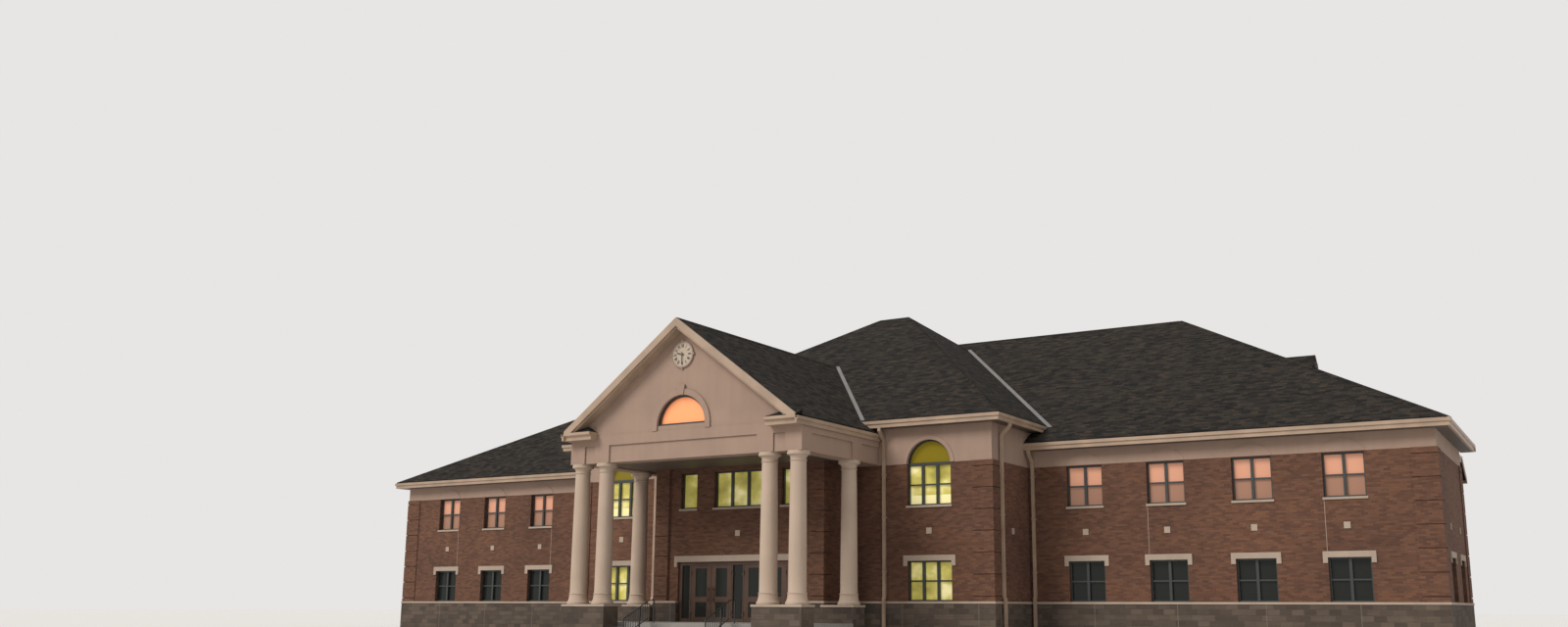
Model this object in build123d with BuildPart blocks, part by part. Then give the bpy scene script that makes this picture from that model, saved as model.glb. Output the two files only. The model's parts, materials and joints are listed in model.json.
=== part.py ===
from build123d import *

import os

# A two-storey brick town hall at half its real size: a long hipped wing, a taller
# central block, a glazed entrance bay and a portico with a clock in its gable.
# Millimetres, +Z up, the front faces -Y. X = 0 is the axis of symmetry, Z = 0 the
# lowest ground and Y = 0 the middle of the whole depth over eaves and handrails.

os.makedirs("parts", exist_ok=True)

# Storeys
riser = 82
floor_top = 4 * riser
ground_slab = 150
cap_top = 725
cap_height = 40
upper_floor_top = 2078
upper_slab = 120
brick_top = 3245
attic_floor_top = 3780
attic_slab = 88

# Plan of the walls
wall = 175
half_length = 12051
depth = 10798
end_depth = 3850
side_step = 765
half_block = 4887
block_reach = 1724
half_vestibule = 1930
vestibule_reach = 2684
gable_reach = 4760
rail_reach = 4877
joint = 1

# Eaves and roofs
overhang = 267
eave_depth = 131
gutter_width = 62
gutter_metal = 10
gutter_fold = 45
gutter_lip = 58
gutter_step = 66
gutter_step_in = 23
soffit_board = 12
eave_top = 3684
block_eave_top = 4061
roof_depth = 90
roof_foot = 3500
slope = 0.5833
end_slope = 0.566
block_side_slope = 0.7067
wing_ridge = depth / 2
block_ridge = 3785
board = 20

# Stone base, brick piers and stone trim
base_proud = 22
cap_proud = 34
pier = 420
vestibule_pier = 315
pier_proud = 18
hood_overlap = 79
hood_height = 102
hood_drop = 93
hood_proud = 20
sill_height = 40
sill_ear = 20
accent_width = 108
accent_height = 112
accent_middle = 2000
accent_proud = 12
side_accent_reach = 831

# Windows
window = 691
pitch = 1530
block_to_window = 1105
end_window_start = 1160
side_window_start = 5029
lower_head = 1467
upper_sill = 2475
upper_head = 3231
triple_window = 900
triple_centre = 3611
triple_head = 1456
triple_sill = 2468
springing = 3233
arch_ring = 75
arch_proud = 15
panel_rise = 225
panel_proud = 10
frame_setback = 60
frame_depth = 50
frame_member = 28
mullion = 50
pane = 6
pane_margin = 1

# Entrance
door_frame_half = 1396
door_head = 1469
vestibule_setback = 30
vestibule_top = 3286
vestibule_sill = 2500
vestibule_head = 3200
side_light = 397
side_light_centre = 1180
middle_light = 1146

# Where the walls' faces lie along Y and X
front = (rail_reach - depth - overhang) / 2
rear = front + depth
block_front = front - block_reach
vestibule_front = front - vestibule_reach
vestibule_wall = vestibule_front + vestibule_setback
gable_front = front - gable_reach
end_rear = front + end_depth
inner_face = front + wall
rear_inner = rear - wall
block_inner = block_front + wall
side_face = half_length - side_step
side_inner = side_face - wall


def window_row(start, wall_end):
    """The middles of as many windows as fit between a start and the pier at the wall's end."""
    count = int((wall_end - pier - window / 2 - start) // pitch) + 1
    return [start + pitch * i for i in range(count)]


wing_windows = window_row(half_block + block_to_window, half_length)
end_windows = window_row(front + end_window_start, end_rear)
side_windows = window_row(front + side_window_start, rear)
rear_windows = window_row(pitch / 2, side_face)


def front_plane(y):
    """A wall plane that faces -Y: sketch x runs along X and sketch y runs up."""
    return Plane(origin=(0, y, 0), x_dir=(1, 0, 0), z_dir=(0, -1, 0))


def rear_plane(y):
    """A wall plane that faces +Y: sketch x runs along -X and sketch y runs up."""
    return Plane(origin=(0, y, 0), x_dir=(-1, 0, 0), z_dir=(0, 1, 0))


def side_plane(x):
    """A wall plane that faces +X: sketch x runs along Y and sketch y runs up."""
    return Plane(origin=(x, 0, 0), x_dir=(0, 1, 0), z_dir=(1, 0, 0))


def strip(a_min, a_max, b_min, b_max, mode=Mode.ADD):
    """A rectangle between two corners of the sketch."""
    with Locations(((a_min + a_max) / 2, (b_min + b_max) / 2)):
        Rectangle(a_max - a_min, b_max - b_min, mode=mode)


def block(x_min, x_max, y_min, y_max, z_min, z_max, mode=Mode.ADD):
    """A box between two corners of the part."""
    with Locations(((x_min + x_max) / 2, (y_min + y_max) / 2, (z_min + z_max) / 2)):
        Box(x_max - x_min, y_max - y_min, z_max - z_min, mode=mode)


def outline(points, mode=Mode.ADD):
    """A closed polygon in the sketch, where its points say."""
    Polygon(*points, align=None, mode=mode)


def save(piece, label):
    """Name the piece and write it as one STEP file."""
    piece.part.label = label
    export_step(piece.part, f"parts/{label}.step")


# Roof surfaces. Each is the plane through the eave line, its normal pointing up.
wing_front_top = Plane(origin=(0, front - overhang, eave_top), z_dir=(0, -slope, 1))
wing_rear_top = Plane(origin=(0, rear + overhang, eave_top), z_dir=(0, slope, 1))
end_top = Plane(origin=(half_length + overhang, 0, eave_top), z_dir=(end_slope, 0, 1))
block_front_top = Plane(origin=(0, block_front - overhang, block_eave_top), z_dir=(0, -slope, 1))
block_side_top = Plane(
    origin=(half_block + overhang, 0, block_eave_top), z_dir=(block_side_slope, 0, 1)
)
block_ridge_height = block_eave_top + slope * (block_ridge + block_reach + overhang)
block_rear_top = Plane(origin=(0, front + block_ridge, block_ridge_height), z_dir=(0, slope, 1))
wing_ridge_height = eave_top + slope * (wing_ridge + overhang)
ridge_end = half_length + overhang - (wing_ridge_height - eave_top) / end_slope
block_ridge_end = half_block + overhang - (block_ridge_height - block_eave_top) / block_side_slope


def lowered(surface, drop):
    """The same roof surface a plumb distance lower."""
    return Plane(
        origin=surface.origin - Vector(0, 0, drop), x_dir=surface.x_dir, z_dir=surface.z_dir
    )


def roof_slab(points, top, cuts=(), thickness=roof_depth):
    """A roof slope over the plan polygon, cut by planes that face away from what is kept."""
    with BuildPart() as slab:
        with BuildSketch(Plane.XY.offset(roof_foot)):
            outline(points)
        extrude(amount=block_ridge_height)
        split(bisect_by=top, keep=Keep.BOTTOM)
        split(bisect_by=lowered(top, thickness), keep=Keep.TOP)
        for cut in cuts:
            split(bisect_by=cut, keep=Keep.BOTTOM)
    return slab.part


def straight_run(start, outward, along, length, points, cuts=()):
    """A moulding with the polygon as its section, cut by planes that face away from it."""
    with BuildPart() as run:
        with BuildSketch(Plane(origin=start, x_dir=outward, z_dir=along)):
            outline(points)
        extrude(amount=length)
        for cut in cuts:
            split(bisect_by=cut, keep=Keep.BOTTOM)
    return run.part


# Stone base and its cap
def base_course(z_min, z_max, proud):
    """One course of the base right round the building, standing proud of the brick."""
    inner_end = half_length - wall
    with BuildPart() as course:
        block(door_frame_half, half_vestibule + proud, vestibule_front - proud,
              vestibule_wall + wall, z_min, z_max)
        block(half_vestibule - wall, half_vestibule + proud, vestibule_wall + wall + joint,
              block_front - proud - joint, z_min, z_max)
        block(half_vestibule - wall, half_block + proud, block_front - proud, block_inner,
              z_min, z_max)
        block(half_block - wall, half_block + proud, block_inner + joint, inner_face, z_min, z_max)
        block(half_block + proud + joint, half_length + proud, front - proud, inner_face,
              z_min, z_max)
        block(inner_end, half_length + proud, inner_face + joint, end_rear - wall - joint,
              z_min, z_max)
        block(side_inner, half_length + proud, end_rear - wall, end_rear + proud, z_min, z_max)
        block(side_inner, side_face + proud, end_rear + proud + joint, rear_inner - joint,
              z_min, z_max)
        mirror(about=Plane.YZ)
        block(-side_face - proud, side_face + proud, rear_inner, rear + proud, z_min, z_max)
    return course


stone_base = base_course(0, cap_top - cap_height, base_proud)
save(stone_base, "stone_base")
base_cap = base_course(cap_top - cap_height, cap_top, cap_proud)
save(base_cap, "base_cap")


# Brick walls
def window_holes(centres, width, bottom, top):
    """The holes of one row of windows, taken out of the wall's elevation."""
    for centre in centres:
        strip(centre - width / 2, centre + width / 2, bottom, top, Mode.SUBTRACT)


def arched_window(centre, mode):
    """The outline of a window with a round head."""
    strip(centre - triple_window / 2, centre + triple_window / 2, triple_sill, springing, mode)
    with Locations((centre, springing)):
        Circle(triple_window / 2, mode=mode)


with BuildPart() as right_wing_front_wall:
    with BuildSketch(front_plane(front)):
        strip(half_block, half_length - pier, cap_top, brick_top)
        window_holes(wing_windows, window, cap_top, lower_head)
        window_holes(wing_windows, window, upper_sill, upper_head)
    extrude(amount=-wall)
save(right_wing_front_wall, "right_wing_front_wall")

with BuildPart() as left_wing_front_wall:
    mirror(right_wing_front_wall.part, about=Plane.YZ)
save(left_wing_front_wall, "left_wing_front_wall")

with BuildPart() as block_front_walls:
    with BuildSketch(front_plane(block_front)):
        strip(half_vestibule - wall, half_block - pier, cap_top, brick_top)
        window_holes([triple_centre], triple_window, cap_top, triple_head)
        arched_window(triple_centre, Mode.SUBTRACT)
    extrude(amount=-wall)
    mirror(about=Plane.YZ)
save(block_front_walls, "block_front_walls")

with BuildPart() as block_side_walls:
    block(half_block - wall, half_block, block_front + pier, inner_face, cap_top, brick_top)
    mirror(about=Plane.YZ)
save(block_side_walls, "block_side_walls")

with BuildPart() as end_walls:
    with BuildSketch(side_plane(half_length)):
        strip(front + pier, end_rear - pier, cap_top, brick_top)
        window_holes(end_windows, window, cap_top, lower_head)
    extrude(amount=-wall)
    mirror(about=Plane.YZ)
save(end_walls, "end_walls")

with BuildPart() as recessed_side_walls:
    block(side_inner, half_length - pier, end_rear - wall, end_rear, cap_top, brick_top)
    with BuildSketch(side_plane(side_face)):
        strip(end_rear + joint, rear - pier, cap_top, brick_top)
        window_holes(side_windows, window, cap_top, lower_head)
        window_holes(side_windows, window, upper_sill, upper_head)
    extrude(amount=-wall)
    mirror(about=Plane.YZ)
save(recessed_side_walls, "recessed_side_walls")

with BuildPart() as rear_wall:
    with BuildSketch(rear_plane(rear)):
        strip(pier - side_face, side_face - pier, cap_top, brick_top)
        for side in (-1, 1):
            window_holes([side * x for x in rear_windows], window, cap_top, lower_head)
            window_holes([side * x for x in rear_windows], window, upper_sill, upper_head)
    extrude(amount=-wall)
save(rear_wall, "rear_wall")

# Entrance bay: its wall is set back between the piers, and the doorway splits it
with BuildPart() as vestibule_front_wall:
    with BuildSketch(front_plane(vestibule_wall)):
        strip(door_frame_half, half_vestibule - vestibule_pier, cap_top, door_head - joint)
    extrude(amount=-wall)
    mirror(about=Plane.YZ)
    with BuildSketch(front_plane(vestibule_wall)):
        strip(vestibule_pier - half_vestibule, half_vestibule - vestibule_pier,
              door_head, vestibule_top)
        window_holes([-side_light_centre, side_light_centre], side_light,
                     vestibule_sill, vestibule_head)
        window_holes([0], middle_light, vestibule_sill, vestibule_head)
    extrude(amount=-wall)
save(vestibule_front_wall, "vestibule_front_wall")

with BuildPart() as vestibule_side_walls:
    block(half_vestibule - wall, half_vestibule, vestibule_front + vestibule_pier, block_front,
          cap_top, vestibule_top)
    mirror(about=Plane.YZ)
save(vestibule_side_walls, "vestibule_side_walls")


# Rusticated corner piers
def corner_pier(x, y, toward_x, toward_y, width):
    """The L-shaped plan of a pier round the outer corner of two walls."""
    outline([
        (x - toward_x * pier_proud, y - toward_y * pier_proud),
        (x + toward_x * width, y - toward_y * pier_proud),
        (x + toward_x * width, y + toward_y * wall),
        (x + toward_x * wall, y + toward_y * wall),
        (x + toward_x * wall, y + toward_y * width),
        (x - toward_x * pier_proud, y + toward_y * width),
    ])


with BuildPart() as corner_piers:
    with BuildSketch(Plane.XY.offset(cap_top)):
        corner_pier(half_length, front, -1, 1, pier)
        corner_pier(half_length, end_rear, -1, -1, pier)
        corner_pier(side_face, rear, -1, -1, pier)
        corner_pier(half_block, block_front, -1, 1, pier)
    extrude(amount=brick_top - cap_top)
    with BuildSketch(Plane.XY.offset(cap_top)):
        corner_pier(half_vestibule, vestibule_front, -1, 1, vestibule_pier)
    extrude(amount=vestibule_top - cap_top)
    mirror(about=Plane.YZ)
save(corner_piers, "corner_piers")

# Stucco friezes from the brick up to the roofs
frieze_reach = block_ridge_height
arch_panel_half = window / 2 + sill_ear

with BuildPart() as wing_frieze:
    block(half_block, half_length, front, inner_face, brick_top, frieze_reach)
    block(half_length - wall, half_length, inner_face + joint, end_rear - wall - joint,
          brick_top, frieze_reach)
    block(side_inner, half_length, end_rear - wall, end_rear, brick_top, frieze_reach)
    block(side_inner, side_face, end_rear + joint, rear_inner - joint, brick_top, frieze_reach)
    block(0, side_face, rear_inner, rear, brick_top, frieze_reach)
    for surface in (wing_front_top, wing_rear_top, end_top):
        split(bisect_by=lowered(surface, roof_depth), keep=Keep.BOTTOM)
    with BuildSketch(front_plane(front)):
        for centre in wing_windows:
            with BuildLine():
                ThreePointArc(
                    (centre - arch_panel_half, brick_top),
                    (centre, brick_top + panel_rise),
                    (centre + arch_panel_half, brick_top),
                )
                Line((centre + arch_panel_half, brick_top), (centre - arch_panel_half, brick_top))
            make_face()
    extrude(amount=panel_proud)
    mirror(about=Plane.YZ)
save(wing_frieze, "wing_frieze")

cheek_reach = 560
cheek_rear = front + cheek_reach

with BuildPart() as block_frieze:
    with BuildSketch(front_plane(block_front)):
        strip(0, half_block, brick_top, frieze_reach)
        arched_window(triple_centre, Mode.SUBTRACT)
    extrude(amount=-wall)
    block(half_block - wall, half_block, block_inner + joint, inner_face, brick_top, frieze_reach)
    block(half_block - wall, half_block, inner_face + joint, cheek_rear, attic_floor_top,
          frieze_reach)
    split(bisect_by=lowered(block_front_top, roof_depth), keep=Keep.BOTTOM)
    split(bisect_by=lowered(block_side_top, roof_depth), keep=Keep.BOTTOM)
    with BuildSketch(front_plane(block_front)):
        with Locations((triple_centre, springing)):
            Circle(triple_window / 2 + arch_ring)
            Circle(triple_window / 2, mode=Mode.SUBTRACT)
        strip(half_vestibule, half_block, springing - triple_window, brick_top, Mode.SUBTRACT)
    extrude(amount=arch_proud)
    mirror(about=Plane.YZ)
save(block_frieze, "block_frieze")


# Floors
def storey_floor(top, thickness, bays=True):
    """A floor between the walls' inner faces, in plates with narrow joints."""
    inner_end = half_length - wall
    bottom = top - thickness
    with BuildPart() as floor:
        block(side_inner + joint, inner_end, inner_face, end_rear - wall, bottom, top)
        mirror(about=Plane.YZ)
        block(-side_inner, side_inner, inner_face, rear_inner, bottom, top)
        block(wall - half_block, half_block - wall, block_inner + joint, inner_face - joint,
              bottom, top)
        if bays:
            block(wall - half_vestibule, half_vestibule - wall, vestibule_wall + wall,
                  block_inner, bottom, top)
    return floor


ground_floor = storey_floor(floor_top, ground_slab)
save(ground_floor, "ground_floor")
upper_floor = storey_floor(upper_floor_top, upper_slab)
save(upper_floor, "upper_floor")
attic_floor = storey_floor(attic_floor_top, attic_slab, bays=False)
save(attic_floor, "attic_floor")

# Wing roof
eave_back = overhang - gutter_width
slab_front = front - eave_back
slab_rear = rear + eave_back
slab_end = half_length + eave_back
raised_end = side_face + eave_back
rake_x = side_face + overhang
rake_y = end_rear + overhang
hip_turn = end_slope / slope


def front_hip(x):
    """Where the front hip of the wing lies along Y."""
    return front - overhang + hip_turn * (half_length + overhang - x)


def rear_hip(x):
    """Where the rear hip of the wing lies along Y."""
    return rear + overhang - hip_turn * (half_length + overhang - x)


hip_foot = half_length + overhang - gutter_width / hip_turn
ridge_y = front + wing_ridge

with BuildPart() as wing_roof:
    add(roof_slab([(half_block, slab_front), (hip_foot, slab_front), (ridge_end, ridge_y - joint),
                   (half_block, ridge_y - joint)], wing_front_top))
    add(roof_slab([(hip_foot + joint, slab_front), (slab_end, slab_front),
                   (slab_end, rake_y - board), (raised_end + joint, rake_y - board),
                   (raised_end + joint, front_hip(raised_end))], end_top))
    add(roof_slab([(raised_end, front_hip(raised_end) + joint), (raised_end, rear_hip(raised_end)),
                   (ridge_end + joint, ridge_y)], end_top))
    mirror(about=Plane.YZ)
    add(roof_slab([(joint - half_block, cheek_rear), (half_block - joint, cheek_rear),
                   (half_block - joint, ridge_y - joint), (joint - half_block, ridge_y - joint)],
                  wing_front_top))
    rear_edge = rake_x - board
    add(roof_slab([(-rear_edge, slab_rear), (rear_edge, slab_rear),
                   (rear_edge, rear_hip(rear_edge) + joint), (ridge_end, ridge_y),
                   (-ridge_end, ridge_y), (-rear_edge, rear_hip(rear_edge) + joint)],
                  wing_rear_top))
save(wing_roof, "wing_roof")

# Central block's roof, laid over the wing's front slope
portico_slope = 0.75
portico_apex = 5816
portico_top = Plane(origin=(0, 0, portico_apex), z_dir=(portico_slope, 0, 1))
block_slab_front = block_front - eave_back
block_slab_side = half_block + eave_back
ridge_front = front + block_ridge
side_turn = block_side_slope / slope


def block_hip(x):
    """Where the front hip of the block lies along Y."""
    return block_front - overhang + side_turn * (half_block + overhang - x)


block_slab_corner = block_hip(block_slab_side)
below_wing = Plane(origin=wing_front_top.origin, z_dir=-wing_front_top.z_dir)

rear_reach = 1300
rear_hip_x = block_ridge_end + rear_reach / side_turn

with BuildPart() as block_roof:
    add(roof_slab([(block_slab_side, block_slab_corner + joint),
                   (block_slab_side, ridge_front + rear_reach),
                   (rear_hip_x + joint, ridge_front + rear_reach),
                   (block_ridge_end + joint, ridge_front)],
                  block_side_top, [below_wing]))
    mirror(about=Plane.YZ)
    add(roof_slab([(-block_slab_side, block_slab_front), (block_slab_side, block_slab_front),
                   (block_slab_side, block_slab_corner),
                   (block_ridge_end, ridge_front), (-block_ridge_end, ridge_front),
                   (-block_slab_side, block_slab_corner)],
                  block_front_top))
    add(roof_slab([(joint - block_ridge_end, ridge_front + joint),
                   (block_ridge_end - joint, ridge_front + joint),
                   (rear_hip_x - joint, ridge_front + rear_reach),
                   (joint - rear_hip_x, ridge_front + rear_reach)],
                  block_rear_top, [below_wing]))
save(block_roof, "block_roof")

# Lead flashings in the valleys between the block's side slopes and the wing's front slope
flashing_width = 90
flashing = 4


def valley(x):
    """Where the valley lies along Y."""
    rise = block_eave_top - eave_top + block_side_slope * (half_block + overhang - x)
    return front - overhang + rise / slope


valley_foot = half_block + overhang
valley_head = (valley(0) - ridge_front + side_turn * block_ridge_end) / (2 * side_turn)

with BuildPart() as valley_flashings:
    add(roof_slab([(valley_foot, valley(valley_foot)), (valley_head, valley(valley_head)),
                   (valley_head + flashing_width, valley(valley_head)),
                   (valley_foot + flashing_width, valley(valley_foot))],
                  lowered(wing_front_top, -flashing), thickness=flashing))
    mirror(about=Plane.YZ)
save(valley_flashings, "valley_flashings")

# Gabled vents on the wing's end slopes
vent_setback = 3018
vent_face = half_length + overhang - vent_setback
vent_ridge = 5940
vent_half = 208
vent_eave = 45
vent_roof = 40
vent_foot = 5200
vent_run = 1200

with BuildPart() as roof_vents:
    with BuildSketch(side_plane(vent_face)):
        with Locations((ridge_y, 0)):
            outline([(-vent_half, vent_foot), (vent_half, vent_foot),
                     (vent_half, vent_ridge - vent_roof - vent_half),
                     (0, vent_ridge - vent_roof), (-vent_half, vent_ridge - vent_roof - vent_half)])
            reach = vent_half + vent_eave
            outline([(-reach, vent_ridge - reach), (0, vent_ridge), (reach, vent_ridge - reach),
                     (reach, vent_ridge - reach - vent_roof), (0, vent_ridge - vent_roof),
                     (-reach, vent_ridge - reach - vent_roof)])
    extrude(amount=-vent_run)
    split(bisect_by=end_top, keep=Keep.TOP)
    mirror(about=Plane.YZ)
save(roof_vents, "roof_vents")

# Gutters, soffits and the boards at the cut edges of the roof
raised_eave = eave_top + end_slope * side_step


def gutter_section(back):
    """The two-step gutter over its fascia: distance from the wall, height from the eave."""
    outer = back + gutter_width
    return [
        (back, 0), (back + gutter_metal, 0), (back + gutter_metal, -gutter_fold),
        (outer - gutter_metal, -gutter_fold), (outer - gutter_metal, 0), (outer, 0),
        (outer, -gutter_lip), (outer - gutter_step_in, -gutter_step),
        (outer - gutter_step_in, -eave_depth), (back, -eave_depth),
    ]


def eave_runs(section):
    """Every eave of the right half and the rear, with the section's corners mitred."""
    corner = Plane(origin=(half_length - joint, front, 0), z_dir=(1, 1, 0))
    corner_back = Plane(origin=(half_length, front, 0), z_dir=(-1, -1, 0))
    block_corner = Plane(origin=(half_block - joint, block_front, 0), z_dir=(1, 1, 0))
    block_corner_back = Plane(origin=(half_block, block_front, 0), z_dir=(-1, -1, 0))
    above_portico = Plane(origin=portico_top.origin, z_dir=-portico_top.z_dir)
    end_stop = rake_y - board
    raised_stop = rear_hip(raised_end) - joint
    block_stop = cheek_rear
    runs = [
        straight_run((half_length + overhang, front, eave_top), (0, -1, 0), (-1, 0, 0),
                     half_length + overhang - half_block, section, [corner]),
        straight_run((half_length, end_stop, eave_top), (1, 0, 0), (0, -1, 0),
                     end_stop - front + overhang, section, [corner_back]),
        straight_run((side_face, raised_stop, raised_eave), (1, 0, 0), (0, -1, 0),
                     raised_stop - rake_y - joint, section),
        straight_run((half_block + overhang, block_front, block_eave_top), (0, -1, 0), (-1, 0, 0),
                     half_block + overhang, section, [block_corner, above_portico]),
        straight_run((half_block, block_stop, block_eave_top), (1, 0, 0), (0, -1, 0),
                     block_stop - block_front + overhang, section,
                     [block_corner_back, below_wing]),
    ]
    with BuildPart() as eaves:
        for run in runs:
            add(run)
        mirror(about=Plane.YZ)
        add(straight_run((board - rake_x, rear, eave_top), (0, 1, 0), (1, 0, 0),
                         2 * (rake_x - board), section))
    return eaves


portico_column_x = 2424
block_half = 170
portico_half = portico_column_x + block_half

gutters = eave_runs(gutter_section(eave_back))
portico_gutter = straight_run((portico_half, block_front, portico_apex
                               - portico_slope * (portico_half + gutter_width)),
                              (1, 0, 0), (0, -1, 0), block_front - gable_front, gutter_section(0))
with gutters:
    for side in (portico_gutter, mirror(portico_gutter, about=Plane.YZ, mode=Mode.PRIVATE)):
        add(side)
save(gutters, "gutters")

soffits = eave_runs([(0, -eave_depth), (eave_back, -eave_depth),
                     (eave_back, soffit_board - eave_depth), (0, soffit_board - eave_depth)])
save(soffits, "soffits")

with BuildPart() as rake_boards:
    with BuildSketch(front_plane(rake_y)):
        outline([(rake_x, raised_eave), (half_length + overhang, eave_top),
                 (half_length + overhang, eave_top - eave_depth),
                 (rake_x, raised_eave - eave_depth)])
    extrude(amount=board)
    with BuildSketch(side_plane(rake_x)):
        outline([(rear_hip(rake_x), raised_eave), (rear + overhang, eave_top),
                 (rear + overhang, eave_top - eave_depth),
                 (rear_hip(rake_x), raised_eave - eave_depth)])
    extrude(amount=-board)
    mirror(about=Plane.YZ)
save(rake_boards, "rake_boards")

# Downspouts: an elbow from the eave to the wall, and a kick out over the base
pipe_width = 56
pipe_depth = 50
pipe_gap = pier_proud + 4
kick_out = 22
elbow_drop = 60
elbow_inside = 20
outlet_setback = 19
kick_top = 75
kick_foot = 35
kick_bend = 10
pipe_foot = 40


def downspout(face, outward, eave):
    """The side outline of a downspout on a wall face, for a sketch whose x crosses the wall."""
    under = eave - eave_depth
    far = eave_back + gutter_width - outlet_setback
    run_in = far - pipe_gap - pipe_depth
    inner = [
        (far - pipe_depth, under), (far - pipe_depth, under - elbow_drop + elbow_inside),
        (pipe_gap, under - elbow_drop - run_in + elbow_inside), (pipe_gap, cap_top + kick_top),
        (pipe_gap + kick_out, cap_top + kick_foot), (pipe_gap + kick_out, pipe_foot),
    ]
    outer = [
        (pipe_gap + kick_out + pipe_depth, pipe_foot),
        (pipe_gap + kick_out + pipe_depth, cap_top + kick_foot + kick_bend),
        (pipe_gap + pipe_depth, cap_top + kick_top + kick_bend),
        (pipe_gap + pipe_depth, under - elbow_drop - run_in), (far, under - elbow_drop),
        (far, under),
    ]
    outline([(face + outward * d, z) for d, z in inner + outer])


block_front_pipe = 2700
block_side_pipe_reach = 332
block_side_pipe = block_front + block_side_pipe_reach
wing_pipe_gap = 97
wing_front_pipe = half_block + wing_pipe_gap
rear_pipe_gap = 60
rear_pipe = side_face - pier - rear_pipe_gap

with BuildPart() as downspouts:
    with BuildSketch(side_plane(block_front_pipe)):
        downspout(block_front, -1, block_eave_top)
    extrude(amount=pipe_width / 2, both=True)
    with BuildSketch(front_plane(block_side_pipe)):
        downspout(half_block, 1, block_eave_top)
    extrude(amount=pipe_width / 2, both=True)
    with BuildSketch(side_plane(wing_front_pipe)):
        downspout(front, -1, eave_top)
    extrude(amount=pipe_width / 2, both=True)
    with BuildSketch(side_plane(rear_pipe)):
        downspout(rear, 1, eave_top)
    extrude(amount=pipe_width / 2, both=True)
    mirror(about=Plane.YZ)
save(downspouts, "downspouts")

# Portico floor, pedestals and steps
pedestal_inner = 1628
pedestal_outer = 2630
pedestal_top = 655
pedestal_cap = 40
pedestal_lip = 12
pedestal_depth = 412
platform_reach = 4147
rear_pedestal_reach = 2808
platform_front = front - platform_reach
pedestal_front = platform_front - pedestal_depth
rear_pedestal_front = front - rear_pedestal_reach
rear_pedestal_back = rear_pedestal_front + pedestal_depth
rear_pedestal_inner = half_vestibule + base_proud
tread = 180

with BuildPart() as portico_floor:
    block(-pedestal_outer, pedestal_outer, platform_front, rear_pedestal_front, 0, floor_top)
    block(-rear_pedestal_inner, rear_pedestal_inner, rear_pedestal_front + joint,
          vestibule_front - base_proud, 0, floor_top)
    block(-door_frame_half, door_frame_half, vestibule_front - base_proud + joint,
          vestibule_wall + wall, 0, floor_top)
save(portico_floor, "portico_floor")

with BuildPart() as entrance_steps:
    for step in range(1, 4):
        nosing = platform_front - (4 - step) * tread
        block(-pedestal_inner, pedestal_inner, nosing, nosing + tread - joint, 0, step * riser)
save(entrance_steps, "entrance_steps")

with BuildPart() as portico_pedestals:
    block(pedestal_inner, pedestal_outer, pedestal_front, platform_front, 0,
          pedestal_top - pedestal_cap)
    block(rear_pedestal_inner, pedestal_outer, rear_pedestal_front, rear_pedestal_back, 0,
          pedestal_top - pedestal_cap)
    mirror(about=Plane.YZ)
save(portico_pedestals, "portico_pedestals")

with BuildPart() as pedestal_caps:
    block(pedestal_inner - pedestal_lip, pedestal_outer + pedestal_lip,
          pedestal_front - pedestal_lip, platform_front + pedestal_lip,
          pedestal_top - pedestal_cap, pedestal_top)
    block(rear_pedestal_inner, pedestal_outer + pedestal_lip,
          rear_pedestal_front - pedestal_lip, rear_pedestal_back + pedestal_lip,
          pedestal_top - pedestal_cap, pedestal_top)
    mirror(about=Plane.YZ)
save(pedestal_caps, "pedestal_caps")

# Turned columns
entablature_bottom = 3262
column_front = pedestal_front + pedestal_depth / 2
column_rear = rear_pedestal_front + pedestal_depth / 2
inner_column_x = 1834
column_height = entablature_bottom - pedestal_top
shaft_foot = 158
shaft_head = 138
foot_radius = 205
foot_height = 42
bell_radius = 176
bell_top = 90
neck_radius = 166
neck_top = 182
foot_ring_top = 200
shaft_waist = 155
collar_radius = 152
collar_foot = 172
collar_head = 158
bowl_foot = 132
bowl_radius = 190
abacus_height = 64
abacus_radius = 200


def turned_column():
    """One column from its flared foot to its round abacus, standing on the origin."""
    top = column_height
    with BuildPart() as column:
        with BuildSketch(Plane.XZ):
            outline([
                (0, 0), (foot_radius, 0), (foot_radius, foot_height), (bell_radius, bell_top),
                (neck_radius, neck_top), (bell_radius, neck_top), (bell_radius, foot_ring_top),
                (shaft_foot, foot_ring_top), (shaft_waist, top / 2),
                (shaft_head, top - collar_foot), (collar_radius, top - collar_foot),
                (collar_radius, top - collar_head), (shaft_head, top - collar_head),
                (shaft_head, top - bowl_foot), (bowl_radius, top - abacus_height),
                (abacus_radius, top - abacus_height), (abacus_radius, top), (0, top),
            ])
        revolve(axis=Axis.Z)
    return column.part


column = turned_column()
with BuildPart() as right_portico_columns:
    with Locations((portico_column_x, column_front, pedestal_top),
                   (inner_column_x, column_front, pedestal_top),
                   (portico_column_x, column_rear, pedestal_top)):
        add(column)
save(right_portico_columns, "right_portico_columns")

with BuildPart() as left_portico_columns:
    mirror(right_portico_columns.part, about=Plane.YZ)
save(left_portico_columns, "left_portico_columns")

# Entablature: blocks over the columns, recessed beams between them and a band above
band_bottom = 3584
band_top = 3780
beam_recess = 30
entablature_front = column_front - block_half
entablature_back = column_front + block_half
beam_ends = [
    (joint / 2, inner_column_x - block_half - joint),
    (inner_column_x + block_half + joint, portico_column_x - block_half - joint),
]
side_beam_ends = [
    (entablature_back + joint, column_rear - block_half - joint),
    (column_rear + block_half + joint, block_front),
]

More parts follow.
